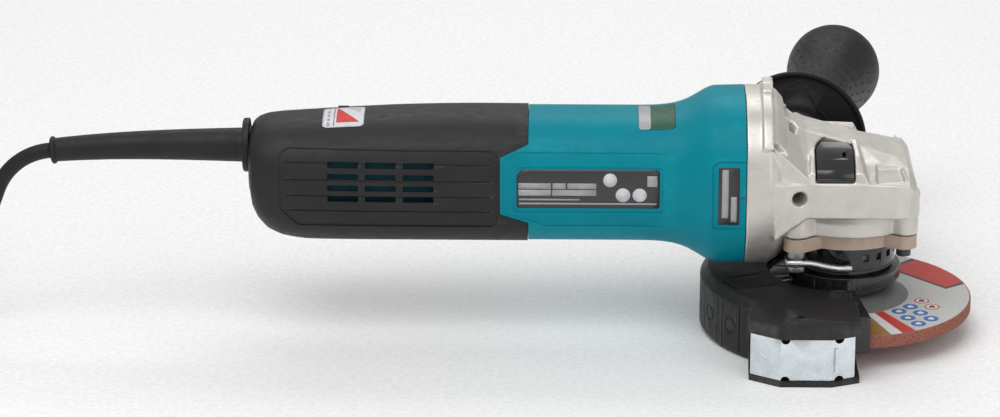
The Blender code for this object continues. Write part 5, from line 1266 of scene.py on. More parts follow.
def dial_sticker():
    """The sticker beside the speed dial: digits 1 to 5, a rule and a red wedge that grows."""
    x_range, top, foot = (-253.3 * MM, -233.3 * MM), -8.0, 27.0
    wide = x_range[1] - x_range[0]
    base = wrapped(
        "dial_sticker", rear_surface, x_range, (top, foot), 0.02 * MM, 0.15 * MM, LABEL_WHITE, 2.0 * MM
    )
    show(base, "housing", "black_nylon")

    def line(share, first, last, steps=12):
        x = x_range[0] + wide * share
        return [
            shoulder_point(rear_surface, x, first + (last - first) * n / steps, 0.18 * MM)
            for n in range(steps + 1)
        ]

    wedge_foot = 20.5
    wedge = [
        line(0.33 + 0.55 * k / 16, top + 1 + (wedge_foot - top - 1.5) * k / 16, wedge_foot)
        for k in range(17)
    ]
    shoulder_sheet("dial_wedge", wedge, LABEL_RED)
    shoulder_sheet(
        "dial_rule", [line(0.265, top + 2, foot - 2), line(0.285, top + 2, foot - 2)], LABEL_DARK
    )
    for k in range(3):
        start = 0.62 + 0.09 * k
        bar = [
            line(start + 0.3 * n / 6, top + 3 + 3.2 * k, top + 4.4 + 3.2 * k, 2)
            for n in range(7) if start + 0.3 * n / 6 < 0.93
        ]
        shoulder_sheet(f"dial_note_{k}", bar, LABEL_GREY)
    for k, degrees in enumerate((-6.0, 1.5, 8.5, 15.5, 22.5)):
        text = bpy.data.curves.new(f"digit_{k + 1}", "FONT")
        text.body = str(k + 1)
        text.size = 3.6 * MM
        text.align_x = text.align_y = "CENTER"
        text.extrude = 0.03 * MM
        text.materials.append(LABEL_DARK)
        obj = bpy.data.objects.new(f"dial_digit_{k + 1}", text)
        bpy.context.scene.collection.objects.link(obj)
        x = x_range[0] + 0.14 * wide
        at = shoulder_point(rear_surface, x, degrees, 0.18 * MM)
        out = (shoulder_point(rear_surface, x, degrees, 1.0 * MM) - at).normalized()
        right = Vector((1.0, 0.0, 0.0))
        up = out.cross(right).normalized()
        obj.matrix_world = Matrix.Translation(at) @ Matrix((right, up, out)).transposed().to_4x4()
        show(obj, "housing", "black_nylon")


def speed_dial():
    """The thumb wheel, knurled round its rim."""
    body = turned(
        "speed_wheel",
        [(0.0, -DIAL_T / 2), (DIAL_R, -DIAL_T / 2), (DIAL_R, DIAL_T / 2), (0.0, DIAL_T / 2)], BLACK,
        "X", DIAL_CENTRE, 96, 0.6 * MM,
    )
    ribs = []
    for k in range(24):
        a = 2 * math.pi * k / 24
        ribs.append(
            span(
                f"dial_rib_{k}", 0.5 * MM, DIAL_X - DIAL_T, DIAL_X + DIAL_T, "X",
                (
                    0, DIAL_CENTRE[1] + (DIAL_R + 0.1 * MM) * math.sin(a),
                    DIAL_CENTRE[2] + (DIAL_R + 0.1 * MM) * math.cos(a),
                ),
                steps=12,
            )
        )
    cut(body, [merged("dial_ribs", ribs)])
    show(body, "speed_dial", "black_nylon", "speed_dial")


def switch_slider():
    """The slide switch on the far side of the barrel, on a stem in its slot."""
    low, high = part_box("switch_slider")
    knob = box("switch_knob", (low[0], BARREL_R + 0.6 * MM, low[2]), high, BLACK, 1.4 * MM, 4)
    stem = box(
        "switch_stem", (SWITCH_X - 8 * MM, BARREL_R - 3.4 * MM, MOTOR_Z - 3 * MM),
        (SWITCH_X + 8 * MM, BARREL_R + 1 * MM, MOTOR_Z + 3 * MM), BLACK, 0.5 * MM,
    )
    grooves = [
        box(
            f"slider_groove_{k}",
            (SWITCH_X + (-8.6 + 3.2 * k) * MM, high[1] - 0.8 * MM, low[2] + 1.2 * MM),
            (SWITCH_X + (-7.2 + 3.2 * k) * MM, high[1] + 2 * MM, high[2] - 1.2 * MM),
        )
        for k in range(6)
    ]
    knob.modifiers.clear()
    cut(knob, [merged("slider_grooves", grooves)])
    rounded(knob, 0.6 * MM, 3)
    show(knob, "switch", "black_nylon", "switch_slider")
    show(stem, "switch", "black_nylon")


# ---- gear head ------------------------------------------------------------------------------
LOCK_Z = 74.5 * MM
PIN_R = 2.4 * MM
BOX_SCREWS = [middle_of(f"box_screw_{k}") for k in (1, 2, 3)]
LEVER_PIN = middle_of("lever_pin")
LOCK_WINDOW = (
    (-0.0164, 0.0786), (-0.0164, 0.0895), (-0.0158, 0.0910), (-0.0140, 0.0922), (-0.0110, 0.0932),
    (-0.0075, 0.0936), (-0.0040, 0.0932), (-0.0010, 0.0922), (0.0008, 0.0910), (0.0014, 0.0895),
    (0.0014, 0.0786),
)


def head_section(x, low, edge, top, half_y, half_top):
    """One ring of the gear head: straight flanks, sloping shoulders, a flat ridge."""
    middle_y, middle_z = (half_y + half_top) / 2, (edge + top) / 2 + 1.8 * MM
    return [
        (x, -half_y, low), (x, half_y, low), (x, half_y, edge), (x, middle_y, middle_z),
        (x, half_top, top), (x, -half_top, top), (x, -middle_y, middle_z), (x, -half_y, edge),
    ]


def mirrored(points):
    return [(x, -y, z) for x, y, z in points]


def head_ribs():
    """Facets on both shoulders: the rear wedge, the frame round the lock, and the front wedge."""
    wedge = (
        (-0.0366, 0.0140, 0.1075), (-0.0366, 0.0372, 0.0955), (-0.0366, SIDE_Y - 0.0002, 0.0770),
        (-0.0150, SIDE_Y - 0.0002, 0.0755), (-0.0245, 0.0120, 0.0980), (-0.0300, 0.0340, 0.0755),
    )
    frame_points = (
        (-0.0215, SIDE_Y - 0.0003, 0.0766), (0.0095, SIDE_Y - 0.0003, 0.0766),
        (-0.0195, 0.0360, 0.0828), (0.0062, 0.0360, 0.0828), (-0.0190, 0.0270, 0.0886),
        (0.0045, 0.0270, 0.0884), (-0.0180, 0.0125, 0.0938), (0.0035, 0.0125, 0.0930),
        (-0.0180, 0.0100, 0.0780), (0.0080, 0.0100, 0.0780),
    )
    front = (
        (0.0150, SIDE_Y - 0.001, 0.0763), (0.0285, SIDE_Y - 0.002, 0.0763),
        (0.0165, 0.0300, 0.0838), (0.0245, 0.0270, 0.0830), (0.0160, 0.0140, 0.0780),
        (0.0283, 0.0140, 0.0780),
    )
    made = []
    for name, points in (("wedge", wedge), ("lock_frame", frame_points), ("front", front)):
        made += [hull(f"{name}_left", points), hull(f"{name}_right", mirrored(points))]
    return made


def grip_direction(side):
    tilt = math.radians(GRIP_TILT)
    return Vector((math.sin(tilt), side * math.cos(tilt), 0.0))


def lock_outline(grow, depth):
    middle = Vector((-7.5 * MM, 85 * MM))
    points = []
    for x, z in LOCK_WINDOW:
        out = Vector((x, z)) - middle
        x, z = middle + out + out.normalized() * grow
        points += [(x, y, z) for y in depth]
    return points


def head_hollows():
    cuts = [
        loft(
            "fan_bay",
            [
                section(x, MOTOR_Z, FLARE_R - 4.2 * MM, FLARE_R - 4.2 * MM)
                for x in (HEAD_X - 10 * MM, -39.5 * MM)
            ],
        ),
        span("front_bearing_seat", 14.3 * MM, -60 * MM, -26 * MM, "X", (0, 0, MOTOR_Z)),
        span("pinion_way", 10 * MM, -30 * MM, -4 * MM, "X", (0, 0, MOTOR_Z)),
        turned(
            "gear_chamber",
            [
                (0.0, 0.040), (0.0252, 0.040), (0.0252, 0.0685), (0.0190, 0.0738),
                (0.0100, 0.0779), (0.0, 0.0779),
            ],
            edge=0,
            steps=64,
        ),
        span("needle_seat", 7.4 * MM, 76.5 * MM, 86.7 * MM, steps=48),
        span("lock_way", PIN_R + 0.6 * MM, -30 * MM, -2 * MM, "Y", (0, 0, LOCK_Z), steps=24),
        hull("lock_window", lock_outline(0.6 * MM, (-60 * MM, -12 * MM))),
        box("lock_bridge_way", (-6.6 * MM, -25.2 * MM, LOCK_Z - 2.6 * MM), (2.4 * MM, -15.4 * MM, 80 * MM)),
    ]
    for side in (-1, 1):
        points = []
        for x, y, z in (
            (-0.0288, 0.0050, 0.1035), (-0.0228, 0.0055, 0.1010), (-0.0208, 0.0110, 0.1000),
            (-0.0212, 0.0165, 0.0985), (-0.0262, 0.0172, 0.0990),
        ):
            points += [(x + 0.003, side * (y + 0.001), z + 0.004), (x - 0.017, side * y, z - 0.012)]
        cuts.append(hull(f"exhaust_{side}", points))
        cuts.append(
            hull(
                f"exhaust_slot_{side}",
                [
                    (x, side * y, z)
                    for x in (-41.3 * MM, -30.3 * MM)
                    for y, z in (
                        (0.0325, 0.0920), (0.0325, 0.0960), (0.0330, 0.0965), (0.0365, 0.0965),
                        (0.0365, 0.0915), (0.0330, 0.0915),
                    )
                ],
            )
        )
        turn = grip_direction(side).to_track_quat("Z", "Y").to_matrix().to_4x4()
        cuts.append(
            span(
                f"side_hole_{side}", (4.7 if side > 0 else 3.6) * MM, -15 * MM, 15 * MM,
                centre=(HANDLE_X, side * SIDE_Y, HANDLE_Z), steps=48, turn=turn,
            )
        )
    for k, (x, y) in enumerate(BOX_SCREWS + [LEVER_PIN]):
        cuts.append(span(f"box_screw_way_{k}", 2.1 * MM, 40 * MM, 61.3 * MM, "Z", (x, y, 0), steps=16))
    turn = grip_direction(1).to_track_quat("Z", "Y").to_matrix().to_4x4()
    cuts.append(
        span(
            "handle_seat", 11.5 * MM, -2.2 * MM, 8 * MM, centre=(HANDLE_X, SIDE_Y, HANDLE_Z),
            steps=64, turn=turn,
        )
    )
    return cuts


def head_body(name, mat):
    """The outside of the gear head: a ring that meets the motor housing, running into straight flanks."""
    flare = [
        section(HEAD_X + GAP, MOTOR_Z, FLARE_R, FLARE_R),
        section(-0.0385, MOTOR_Z, FLARE_R, FLARE_R),
        section(-0.0345, MOTOR_Z, FLARE_R - 0.0022, FLARE_R - 0.0022),
        section(-0.0312, MOTOR_Z, 0.0362, 0.0362),
    ]
    body = loft(name, flare, mat)
    rings = (
        (-0.0360, 0.0500, 0.0780, 0.1065, 0.0408, 0.013),
        (-0.0285, 0.0550, 0.0776, 0.1002, 0.0390, 0.012),
        (-0.0205, 0.0605, 0.0774, 0.0965, SIDE_Y, 0.012),
        (0.0010, 0.0605, 0.0772, 0.0907, SIDE_Y, 0.011),
        (0.0220, 0.0605, 0.0772, 0.0838, SIDE_Y, 0.011),
        (0.0285, 0.0600, 0.0768, 0.0820, 0.0365, 0.012),
        (0.0315, 0.0600, 0.0735, 0.0765, 0.0335, 0.018),
        (0.0335, 0.0600, 0.0665, 0.0685, 0.0300, 0.022),
    )
    parts = [loft("head", [head_section(*ring) for ring in rings])]
    parts.append(span("boss", 34.5 * MM, BOX_TOP_Z + GAP, 64 * MM, steps=128))
    parts.append(
        turned(
            "boss_shoulder", [(0.0, 0.0621), (0.0364, 0.0621), (0.0342, 0.0553), (0.0, 0.0553)], steps=128
        )
    )
    for k, (x, y) in enumerate(BOX_SCREWS + [LEVER_PIN]):
        inner = Vector((x, y)) - Vector((x, y)).normalized() * 12 * MM
        parts.append(
            tab(
                f"pillar_{k}", BOX_TOP_Z + GAP + 0.2 * MM, 64 * MM, (x, y, 6.6 * MM),
                (inner.x, inner.y, 8.5 * MM),
            )
        )
    parts.append(
        hull(
            "flange_lug",
            [
                (x, y, z)
                for x in (-0.0417, -0.0366)
                for y, z in ((-0.0085, 0.108), (0.0085, 0.108), (-0.0045, 0.1185), (0.0045, 0.1185))
            ],
        )
    )
    rib_ring = loft(
        "flange_rib",
        [section(x, MOTOR_Z, FLARE_R + 1.2 * MM, FLARE_R + 1.2 * MM) for x in (-42 * MM, -37.2 * MM)],
    )
    keep_inside(rib_ring, [box("rib_half", (-0.06, -0.06, MOTOR_Z + 0.024), (0.0, 0.06, 0.16))])
    parts.append(rib_ring)
    return join(body, parts + head_ribs())


def pockets():
    """The hollow in each shoulder ahead of the lock's frame."""
    corners = (
        (0.0120, 0.0362, 0.0752), (0.0262, 0.0335, 0.0755), (0.0240, 0.0235, 0.0812),
        (0.0125, 0.0250, 0.0815),
    )
    points = [(x, y, z + rise) for x, y, z in corners for rise in (0.0, 12 * MM)]
    return [hull("pocket_left", points), hull("pocket_right", mirrored(points))]


def gear_housing():
    body = head_body("gear_case", CAST)
    cut(body, pockets() + head_hollows())
    melted(body, 0.62 * MM, 3, 0.55)
    show(body, "housing", "cast_aluminium", "gear_housing")


def handle_threads():
    """The threaded bushes that take the side handle, one on each flank."""
    for side in (-1, 1):
        turn = Matrix.Translation(
            Vector((HANDLE_X, side * SIDE_Y, HANDLE_Z))
        ) @ facing(grip_direction(side))
        outer, inner, start = (
            4.85 * MM, 4.25 * MM, -2.6 * MM
        ) if side > 0 else (3.75 * MM, 3.3 * MM, -0.8 * MM)
        profile = [(outer, -14 * MM), (outer, start), (inner + 0.25 * MM, start)]
        for k in range(10):
            z = start - (0.7 + 1.1 * k) * MM
            profile += [(inner, z), (inner + 0.25 * MM, z - 0.55 * MM)]
        profile.append((inner, -14 * MM))
        bush = turned(f"handle_thread_{side}", profile, CAST, steps=48, edge=0)
        bush.matrix_world = turn @ bush.matrix_world
        show(bush, "housing", "cast_aluminium")


def bearing_box():
    body = span("box_flange", 31 * MM, 42.3 * MM, BOX_TOP_Z, mat=ROUGH_CAST, steps=128)
    ears = []
    for k, (x, y) in enumerate(BOX_SCREWS + [LEVER_PIN]):
        inner = Vector((x, y)) - Vector((x, y)).normalized() * 14 * MM
        ears.append(tab(f"ear_{k}", 42.3 * MM, BOX_TOP_Z, (x, y, 6.2 * MM), (inner.x, inner.y, 9.5 * MM)))
    neck = turned(
        "neck",
        [(0.0, 0.0443), (0.0220, 0.0443), (0.0220, 0.0270), (0.0212, 0.0262), (0.0, 0.0262)],
        steps=128,
    )
    cuts = [
        span("ball_seat", 16.3 * MM, 40.5 * MM, 60 * MM),
        span("spindle_way", 11.8 * MM, 20 * MM, 60 * MM),
        span("neck_relief", 15 * MM, 20 * MM, 33.5 * MM),
    ]
    for k, (x, y) in enumerate(BOX_SCREWS + [LEVER_PIN]):
        cuts.append(span(f"ear_hole_{k}", 2.2 * MM, 35 * MM, 60 * MM, "Z", (x, y, 0), steps=20))
    join(body, ears + [neck])
    cut(body, cuts)
    rounded(body, 0.7 * MM, 3, 40)
    show(body, "housing", "cast_aluminium", "bearing_box")


def shaft_lock():
    """The glossy lock button in its window, arched across, with a crease near its foot and a small hole."""
    body = hull("lock_button", lock_outline(-0.1 * MM, (-38 * MM, -16.8 * MM)), BUTTON)
    profile = (
        (-0.0368, 0.0760), (-0.0366, 0.0806), (-0.0345, 0.0840), (-0.0290, 0.0874),
        (-0.0220, 0.0904), (-0.0168, 0.0922), (-0.0140, 0.0935), (-0.0120, 0.0935),
        (-0.0120, 0.0760),
    )
    face = hull("lock_face", [(x, y, z) for x in (-0.03, 0.02) for y, z in profile])
    crease = span("lock_crease", 0.6 * MM, -0.03, 0.02, "X", (0, -0.0368, 0.0803), steps=16)
    dimple = span("lock_dimple", 1.0 * MM, -0.0300, -0.0190, "Y", (-0.0030, 0, 0.0887), steps=24)
    keep_inside(body, [face])
    cut(body, [crease, dimple])
    pin = span("lock_pin", PIN_R, -24 * MM, -8.5 * MM, "Y", (0, 0, LOCK_Z), steps=32)
    bridge = hull(
        "lock_bridge",
        [
            (x, y, z)
            for y in (-0.0245, -0.0210)
            for x, z in (
                (-0.0020, LOCK_Z - 0.0020), (0.0018, LOCK_Z - 0.0020), (-0.0060, 0.0810), (0.0004, 0.0810)
            )
        ],
    )
    join(body, [bridge, pin])
    rounded(body, 0.45 * MM, 3, 25)
    show(body, "shaft_lock", "black_nylon", "shaft_lock_button")


def socket_screw(name, x, y, node):
    low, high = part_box(node)
    head_top = 42.3 * MM - GAP
    profile = [
        (0.0, low[2]), (3.6 * MM, low[2]), (3.6 * MM, head_top), (1.8 * MM, head_top),
        (1.8 * MM, high[2]), (0.0, high[2]),
    ]
    body = turned(name, profile, SATIN, "Z", (x, y, 0), 48, 0.5 * MM)
    key = span(f"{name}_socket", 2.1 * MM, low[2] - MM, low[2] + 2 * MM, "Z", (x, y, 0), steps=6)
    cut(body, [key])
    show(body, "housing", "black_steel", node)


def lever_pin():
    low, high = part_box("lever_pin")
    eye = LEVER_EYE
    x, y = LEVER_PIN
    profile = [
        (0.0, low[2]), (4.6 * MM, low[2]), (4.6 * MM, eye[0] - GAP), (2.5 * MM, eye[0] - GAP),
        (2.5 * MM, eye[1] + GAP), (4.6 * MM, eye[1] + GAP), (4.6 * MM, 42.0 * MM),
        (1.8 * MM, 42.0 * MM), (1.8 * MM, high[2]), (0.0, high[2]),
    ]
    show(
        turned("lever_pivot", profile, PIN_STEEL, "Z", (x, y, 0), 64, 0.5 * MM), "housing", "steel",
        "lever_pin",
    )


LEVER_EYE = (34.9 * MM, 38.1 * MM)
PIN_STEEL = metal("zinc_green_steel", (0.26, 0.29, 0.275), 0.3)


# ---- guard ----------------------------------------------------------------------------------
GUARD_FROM, GUARD_TO = 96.0, 278.0
NECK_R, BAND_R, SHEET, LIP_R = 22 * MM, 24.4 * MM, 1.6 * MM, 27.5 * MM
GUARD_R, GUARD_TOP_Z, LIP_Z = 65.5 * MM, 20.5 * MM, 25.8 * MM
COVER_R, COVER_T, COVER_TOP_Z = 70 * MM, 2.2 * MM, guard_high[2]
BOX_CORNERS = (
    (-0.0480, -0.0500), (-0.0488, -0.0755), (-0.0345, -0.0850), (-0.0100, -0.0850),
    (0.0035, -0.0790), (0.0035, -0.0500),
)


def guard_sector(low, high, radius=90 * MM, steps=48, start=GUARD_FROM, stop=GUARD_TO):
    rings = []
    for z in (low, high):
        angles = [math.radians(start + (stop - start) * k / steps) for k in range(steps + 1)]
        rings.append([(0.0, 0.0, z)] + [(radius * math.cos(a), radius * math.sin(a), z) for a in angles])
    return loft("guard_sector", rings)


def wheel_guard():
    ring = turned(
        "guard_body",
        [
            (NECK_R + 0.6 * MM, 0.0262), (NECK_R + 0.6 * MM, 0.0395), (BAND_R - 1.2 * MM, 0.0395),
            (BAND_R - 1.2 * MM, LIP_Z + 0.0012), (LIP_R, LIP_Z + 0.0005),
            (LIP_R, GUARD_TOP_Z - 0.0005), (LIP_R - SHEET, GUARD_TOP_Z - 0.0005),
            (LIP_R - SHEET, 0.0250),
        ],
        GLOSS, steps=160, edge=0.5 * MM,
    )
    pan = turned(
        "guard_pan",
        [
            (LIP_R - SHEET * 0.8, GUARD_TOP_Z), (GUARD_R, GUARD_TOP_Z), (GUARD_R, 0.0025),
            (GUARD_R - SHEET, 0.0025), (GUARD_R - SHEET, GUARD_TOP_Z - SHEET),
            (LIP_R - SHEET * 0.8, GUARD_TOP_Z - SHEET),
        ],
        steps=160,
        edge=1.6 * MM,
    )
    keep_inside(pan, [guard_sector(-0.02, 0.06)])
    holes = []
    for k in range(9):
        hole = box(
            f"band_hole_{k}", (NECK_R - 1.2 * MM, -1.9 * MM, 33.5 * MM),
            (BAND_R + 4 * MM, 1.9 * MM, 36.9 * MM),
        )
        hole.matrix_world = Matrix.Rotation(math.radians(-68 + 17.0 * k), 4, "Z") @ hole.matrix_world
        holes.append(hole)
    join(ring, [pan])
    cut(ring, [merged("band_holes", holes)])
    rounded(ring, 0.25 * MM, 2, 40)
    show(ring, "guard", "black_steel", "wheel_guard")


def clamp_band():
    """The band that the lever tightens, with square windows over the guard's holes and a round one."""
    inner = BAND_R - 1.2 * MM + GAP
    low, high = 29.0 * MM, 41.5 * MM
    band = turned(
        "band", [(inner, low), (inner + 1.2 * MM, low), (inner + 1.2 * MM, high), (inner, high)],
        GLOSS, steps=160, edge=0.4 * MM,
    )
    holes = []
    for k in range(9):
        hole = box(
            f"band_window_{k}", (NECK_R - 1.2 * MM, -1.6 * MM, 33.6 * MM),
            (BAND_R + 4 * MM, 1.6 * MM, 36.8 * MM),
        )
        hole.matrix_world = Matrix.Rotation(math.radians(-68 + 17.0 * k), 4, "Z") @ hole.matrix_world
        holes.append(hole)
    eye = span(
        "band_eye", 1.5 * MM, 15 * MM, 40 * MM, centre=(0, 0, 35.4 * MM), steps=24,
        turn=facing(around(1.0, math.radians(-99))),
    )
    cut(band, [merged("band_windows", holes), eye])
    rounded(band, 0.2 * MM, 2, 40)
    show(band, "guard", "black_steel", "clamp_band")


def cover_corner(name, low, high, grow=0.0, mat=None):
    points = []
    for x, y in BOX_CORNERS:
        out = Vector((x + 0.02, y + 0.045)).normalized() * grow
        points += [(x + out.x, y + out.y, z) for z in (low, high)]
    return hull(name, points, mat)


def clip_slots():
    """The slot that frees a spring clip in the cover's top, the small hole and the window for the plate."""
    turn = Matrix.Rotation(math.radians(207), 4, "Z")
    slots = [
        box("clip_slot_a", (0.0430, -0.0088, 0.015), (0.0640, -0.0076, 0.03)),
        box("clip_slot_b", (0.0430, 0.0076, 0.015), (0.0640, 0.0088, 0.03)),
        box("clip_slot_c", (0.0630, -0.0088, 0.015), (0.0642, 0.0088, 0.03)),
    ]
    for slot in slots:
        slot.matrix_world = turn @ slot.matrix_world
    hole = span("cover_hole", 1.6 * MM, 15 * MM, 30 * MM, "Z", (-0.0244, -0.0716, 0), steps=24)
    window = hull(
        "plate_window",
        [
            (x, y, z)
            for z in (FLOOR_Z + 0.0026, COVER_TOP_Z - 0.0066)
            for x, y in (
                (-0.0400, -0.0600), (-0.0510, -0.0730), (-0.0510, -0.0900), (-0.0100, -0.1000),
                (0.0100, -0.0960), (0.0100, -0.0550),
            )
        ],
    )
    return slots + [hole, window]


def cutting_cover():
    """The clip-on cover: a C-section round the guard, squared off at one corner, its top edge bevelled."""
    top, low = COVER_TOP_Z, FLOOR_Z
    body = turned(
        "clip_on_cover",
        [
            (0.030, low), (COVER_R - 0.0025, low), (COVER_R, low + 0.0025),
            (COVER_R, top - 0.0040), (COVER_R - 0.0040, top), (0.030, top),
        ],
        COVER_BLACK, steps=192, edge=0.5 * MM,
    )
    keep_inside(body, [guard_sector(-0.03, 0.05, start=GUARD_FROM - 2, stop=GUARD_TO - 6)])
    corner = cover_corner("cover_corner", low, top)
    join(body, [corner])
    inside = turned(
        "cover_inside",
        [
            (0.020, low + COVER_T), (COVER_R - COVER_T, low + COVER_T),
            (COVER_R - COVER_T, top - COVER_T), (0.020, top - COVER_T),
        ],
        steps=192,
        edge=1.5 * MM,
    )
    corner_inside = cover_corner("corner_inside", low + COVER_T, top - COVER_T, -COVER_T - 0.0004)
    top_opening = turned(
        "cover_top_opening", [(0.0, 0.010), (0.0375, 0.010), (0.0375, 0.04), (0.0, 0.04)], steps=128, edge=0
    )
    low_opening = turned(
        "cover_low_opening", [(0.0, -0.02), (0.0455, -0.02), (0.0455, 0.010), (0.0, 0.010)],
        steps=128, edge=0,
    )
    grooves = skirt_marks()
    cut(body, [inside, corner_inside, top_opening, low_opening] + clip_slots() + [grooves])
    rounded(body, 0.5 * MM, 3, 30)
    show(body, "guard", "black_nylon", "cutting_cover")


def skirt_marks():
    """Shallow moulded frames on the skirt, in place of the pictograms."""
    pieces = []
    middle_z = (FLOOR_Z + COVER_TOP_Z) / 2 - 0.5 * MM
    for k, (degrees, half_turn, half_z) in enumerate(((216, 5.6, 8.0), (200, 6.6, 8.0), (183, 6.6, 8.0))):
        for n in range(4):
            start, stop = ((-1, 1), (1, 1), (1, -1), (-1, -1))[n], ((1, 1), (1, -1), (-1, -1), (-1, 1))[n]
            for share in range(6):
                t0, t1 = share / 6, (share + 1) / 6
                a0 = math.radians(degrees + half_turn * (start[0] + (stop[0] - start[0]) * t0))
                a1 = math.radians(degrees + half_turn * (start[0] + (stop[0] - start[0]) * t1))
                z0 = middle_z + half_z * (start[1] + (stop[1] - start[1]) * t0)
                z1 = middle_z + half_z * (start[1] + (stop[1] - start[1]) * t1)
                points = []
                for a, z in ((a0, z0), (a1, z1)):
                    spread_a = 0.30 * MM / COVER_R if abs(start[0] - stop[0]) < 1e-6 else 0.0
                    spread_z = 0.30 * MM if spread_a == 0.0 else 0.0
                    for radius in (COVER_R - 0.35 * MM, COVER_R + 2 * MM):
                        for sign in (-1, 1):
                            points.append(
                                (
                                    radius * math.cos(a + sign * spread_a),
                                    radius * math.sin(a + sign * spread_a), z + sign * spread_z,
                                )
                            )
                pieces.append(hull(f"mark_{k}_{n}_{share}", points))
    for k, degrees in enumerate((216, 200, 183)):
        a = math.radians(degrees)
        out = Vector((math.cos(a), math.sin(a), 0))
        turn = out.to_track_quat("Z", "Y").to_matrix().to_4x4()
        ring = turned(
            f"mark_ring_{k}",
            [(3.2 * MM, -0.35 * MM), (4.0 * MM, -0.35 * MM), (4.0 * MM, 3 * MM), (3.2 * MM, 3 * MM)],
            None, centre=out * COVER_R + Vector((0, 0, middle_z)), steps=48, edge=0, turn=turn,
        )
        pieces.append(ring)
    return merged("skirt_marks", pieces)


def guard_plate():
    """The bent bright plate at the cover's corner, with an embossed arrow and two bars."""
    low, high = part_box("guard_plate")
    outer = cover_corner("corner_plate", low[2], high[2], -0.9 * MM, BRIGHT)
    inner = cover_corner("plate_inside", -0.03, 0.04, -2.3 * MM)
    back = box("plate_back", (-0.044, -0.0640, -0.03), (0.02, -0.03, 0.04))
    side = box("plate_side", (0.0010, -0.10, -0.03), (0.03, -0.03, 0.04))
    left = box("plate_left", (-0.08, -0.0742, -0.03), (-0.0440, -0.03, 0.04))
    notches = [
        span(f"plate_notch_{x}_{z}", 2.2 * MM, -0.12, -0.06, "Y", (x, 0, z), steps=24)
        for x in (-0.0320, -0.0065)
        for z in (low[2], high[2])
    ]
    middle = (low[2] + high[2]) / 2
    face_y = BOX_CORNERS[2][1] + 0.9 * MM
    bars = [
        box(
            f"plate_bar_{k}", (x, face_y - 0.35 * MM, middle - 6 * MM),
            (x + 1.5 * MM, face_y + 0.6 * MM, middle + 6 * MM), bevel=0.3 * MM,
        )
        for k, x in enumerate((-0.0145, -0.0085))
    ]
    corner_a, corner_b = Vector((*BOX_CORNERS[1], 0)), Vector((*BOX_CORNERS[2], 0))
    along = (corner_b - corner_a).normalized()
    out = Vector((along.y, -along.x, 0))
    base = corner_a + along * 5.0 * MM - out * 0.9 * MM
    arrow = []
    for d, z in ((0.0, -3.6), (0.0, 3.6), (6.4, 0.0)):
        for depth in (-0.6, 0.35):
            arrow.append(
                base + along * d * MM + out * depth * MM + Vector((0, 0, middle - 1.5 * MM + z * MM))
            )
    for bar in bars:
        bar.modifiers.clear()
    cut(outer, [inner, back, side, left, merged("plate_notches", notches)])
    join(outer, bars + [hull("plate_arrow", arrow)])
    rounded(outer, 0.3 * MM, 3, 20)
    show(outer, "guard", "zinc_plate", "guard_plate")


def guard_lever():
    """The quick-release lever: an eye round its pin and a cranked strap along the band, rolled from sheet."""
    x, y = LEVER_PIN
    z = (LEVER_EYE[0] + LEVER_EYE[1]) / 2
    eye = turned(
        "lever_eye",
        [(2.9 * MM, -1.6 * MM), (5.8 * MM, -1.6 * MM), (5.8 * MM, 1.6 * MM), (2.9 * MM, 1.6 * MM)],
        LEVER_STEEL, "Z", (x, y, z), 64, 0.5 * MM,
    )
    path = [
        (-4.5, -3.8, 0.0), (-1.0, -4.4, 0.1), (2.0, -4.5, 0.2), (5.5, -4.0, 0.0),
        (9.0, -3.0, -0.8), (12.5, -2.0, -2.0), (16.0, -1.0, -3.0), (20.0, 0.0, -3.9),
        (23.0, 0.6, -4.2), (25.5, 0.8, -4.1), (27.2, 0.8, -4.0),
    ]
    sizes = [0.9, 1.0, 1.0, 0.95, 0.95, 1.0, 1.0, 1.0, 1.0, 1.08, 0.9]
    points = [Vector((x, y, z)) + Vector(p) * MM for p in path]
    arm = solid_tube("lever_arm", points, 1.75 * MM, LEVER_STEEL, sizes, 6)
    show(eye, "guard_lever", "zinc_plate", "guard_lever")
    show(rounded(arm, 0.5 * MM, 3), "guard_lever", "zinc_plate")


# ---- wheel and spindle ----------------------------------------------------------------------
WHEEL_LOW, WHEEL_HIGH = wheel_low[2], wheel_low[2] + 6 * MM
PAPER_R = 61.7 * MM


def grinding_wheel():
    low, high, dish = WHEEL_LOW, WHEEL_HIGH, 5 * MM
    profile = [
        (0.0111, low + dish), (0.0235, low + dish), (0.0295, low), (WHEEL_R, low), (WHEEL_R, high),
        (0.0315, high), (0.0245, high + dish), (0.0111, high + dish),
    ]
    body = turned("abrasive_wheel", profile, WHEEL_GRIT, steps=256, edge=0.5 * MM)
    rough = body.modifiers.new("chipped", "DISPLACE")
    texture = bpy.data.textures.new("wheel_grains", "CLOUDS")
    texture.noise_scale = 0.9 * MM
    rough.texture = texture
    rough.texture_coords = "LOCAL"
    rough.strength = 0.12 * MM
    rough.mid_level = 1.0
    show(body, "spindle", "abrasive", "grinding_wheel")


def flat_piece(name, outline, lift, mat):
    """A thin printed shape on top of the wheel's flat rim."""
    bm = bmesh.new()
    z = WHEEL_HIGH + lift
    face = bm.faces.new([bm.verts.new((x, y, z)) for x, y in outline])
    grown = bmesh.ops.extrude_face_region(bm, geom=[face])
    verts = [v for v in grown["geom"] if isinstance(v, bmesh.types.BMVert)]
    bmesh.ops.translate(bm, vec=(0, 0, 0.04 * MM), verts=verts)
    piece = from_bmesh(name, bm, mat)
    show(piece, "spindle", "abrasive")
    return piece


def arc(radius, start, stop, steps=24):
    angles = [math.radians(start + (stop - start) * k / steps) for k in range(steps + 1)]
    return [(radius * math.cos(a), radius * math.sin(a)) for a in angles]


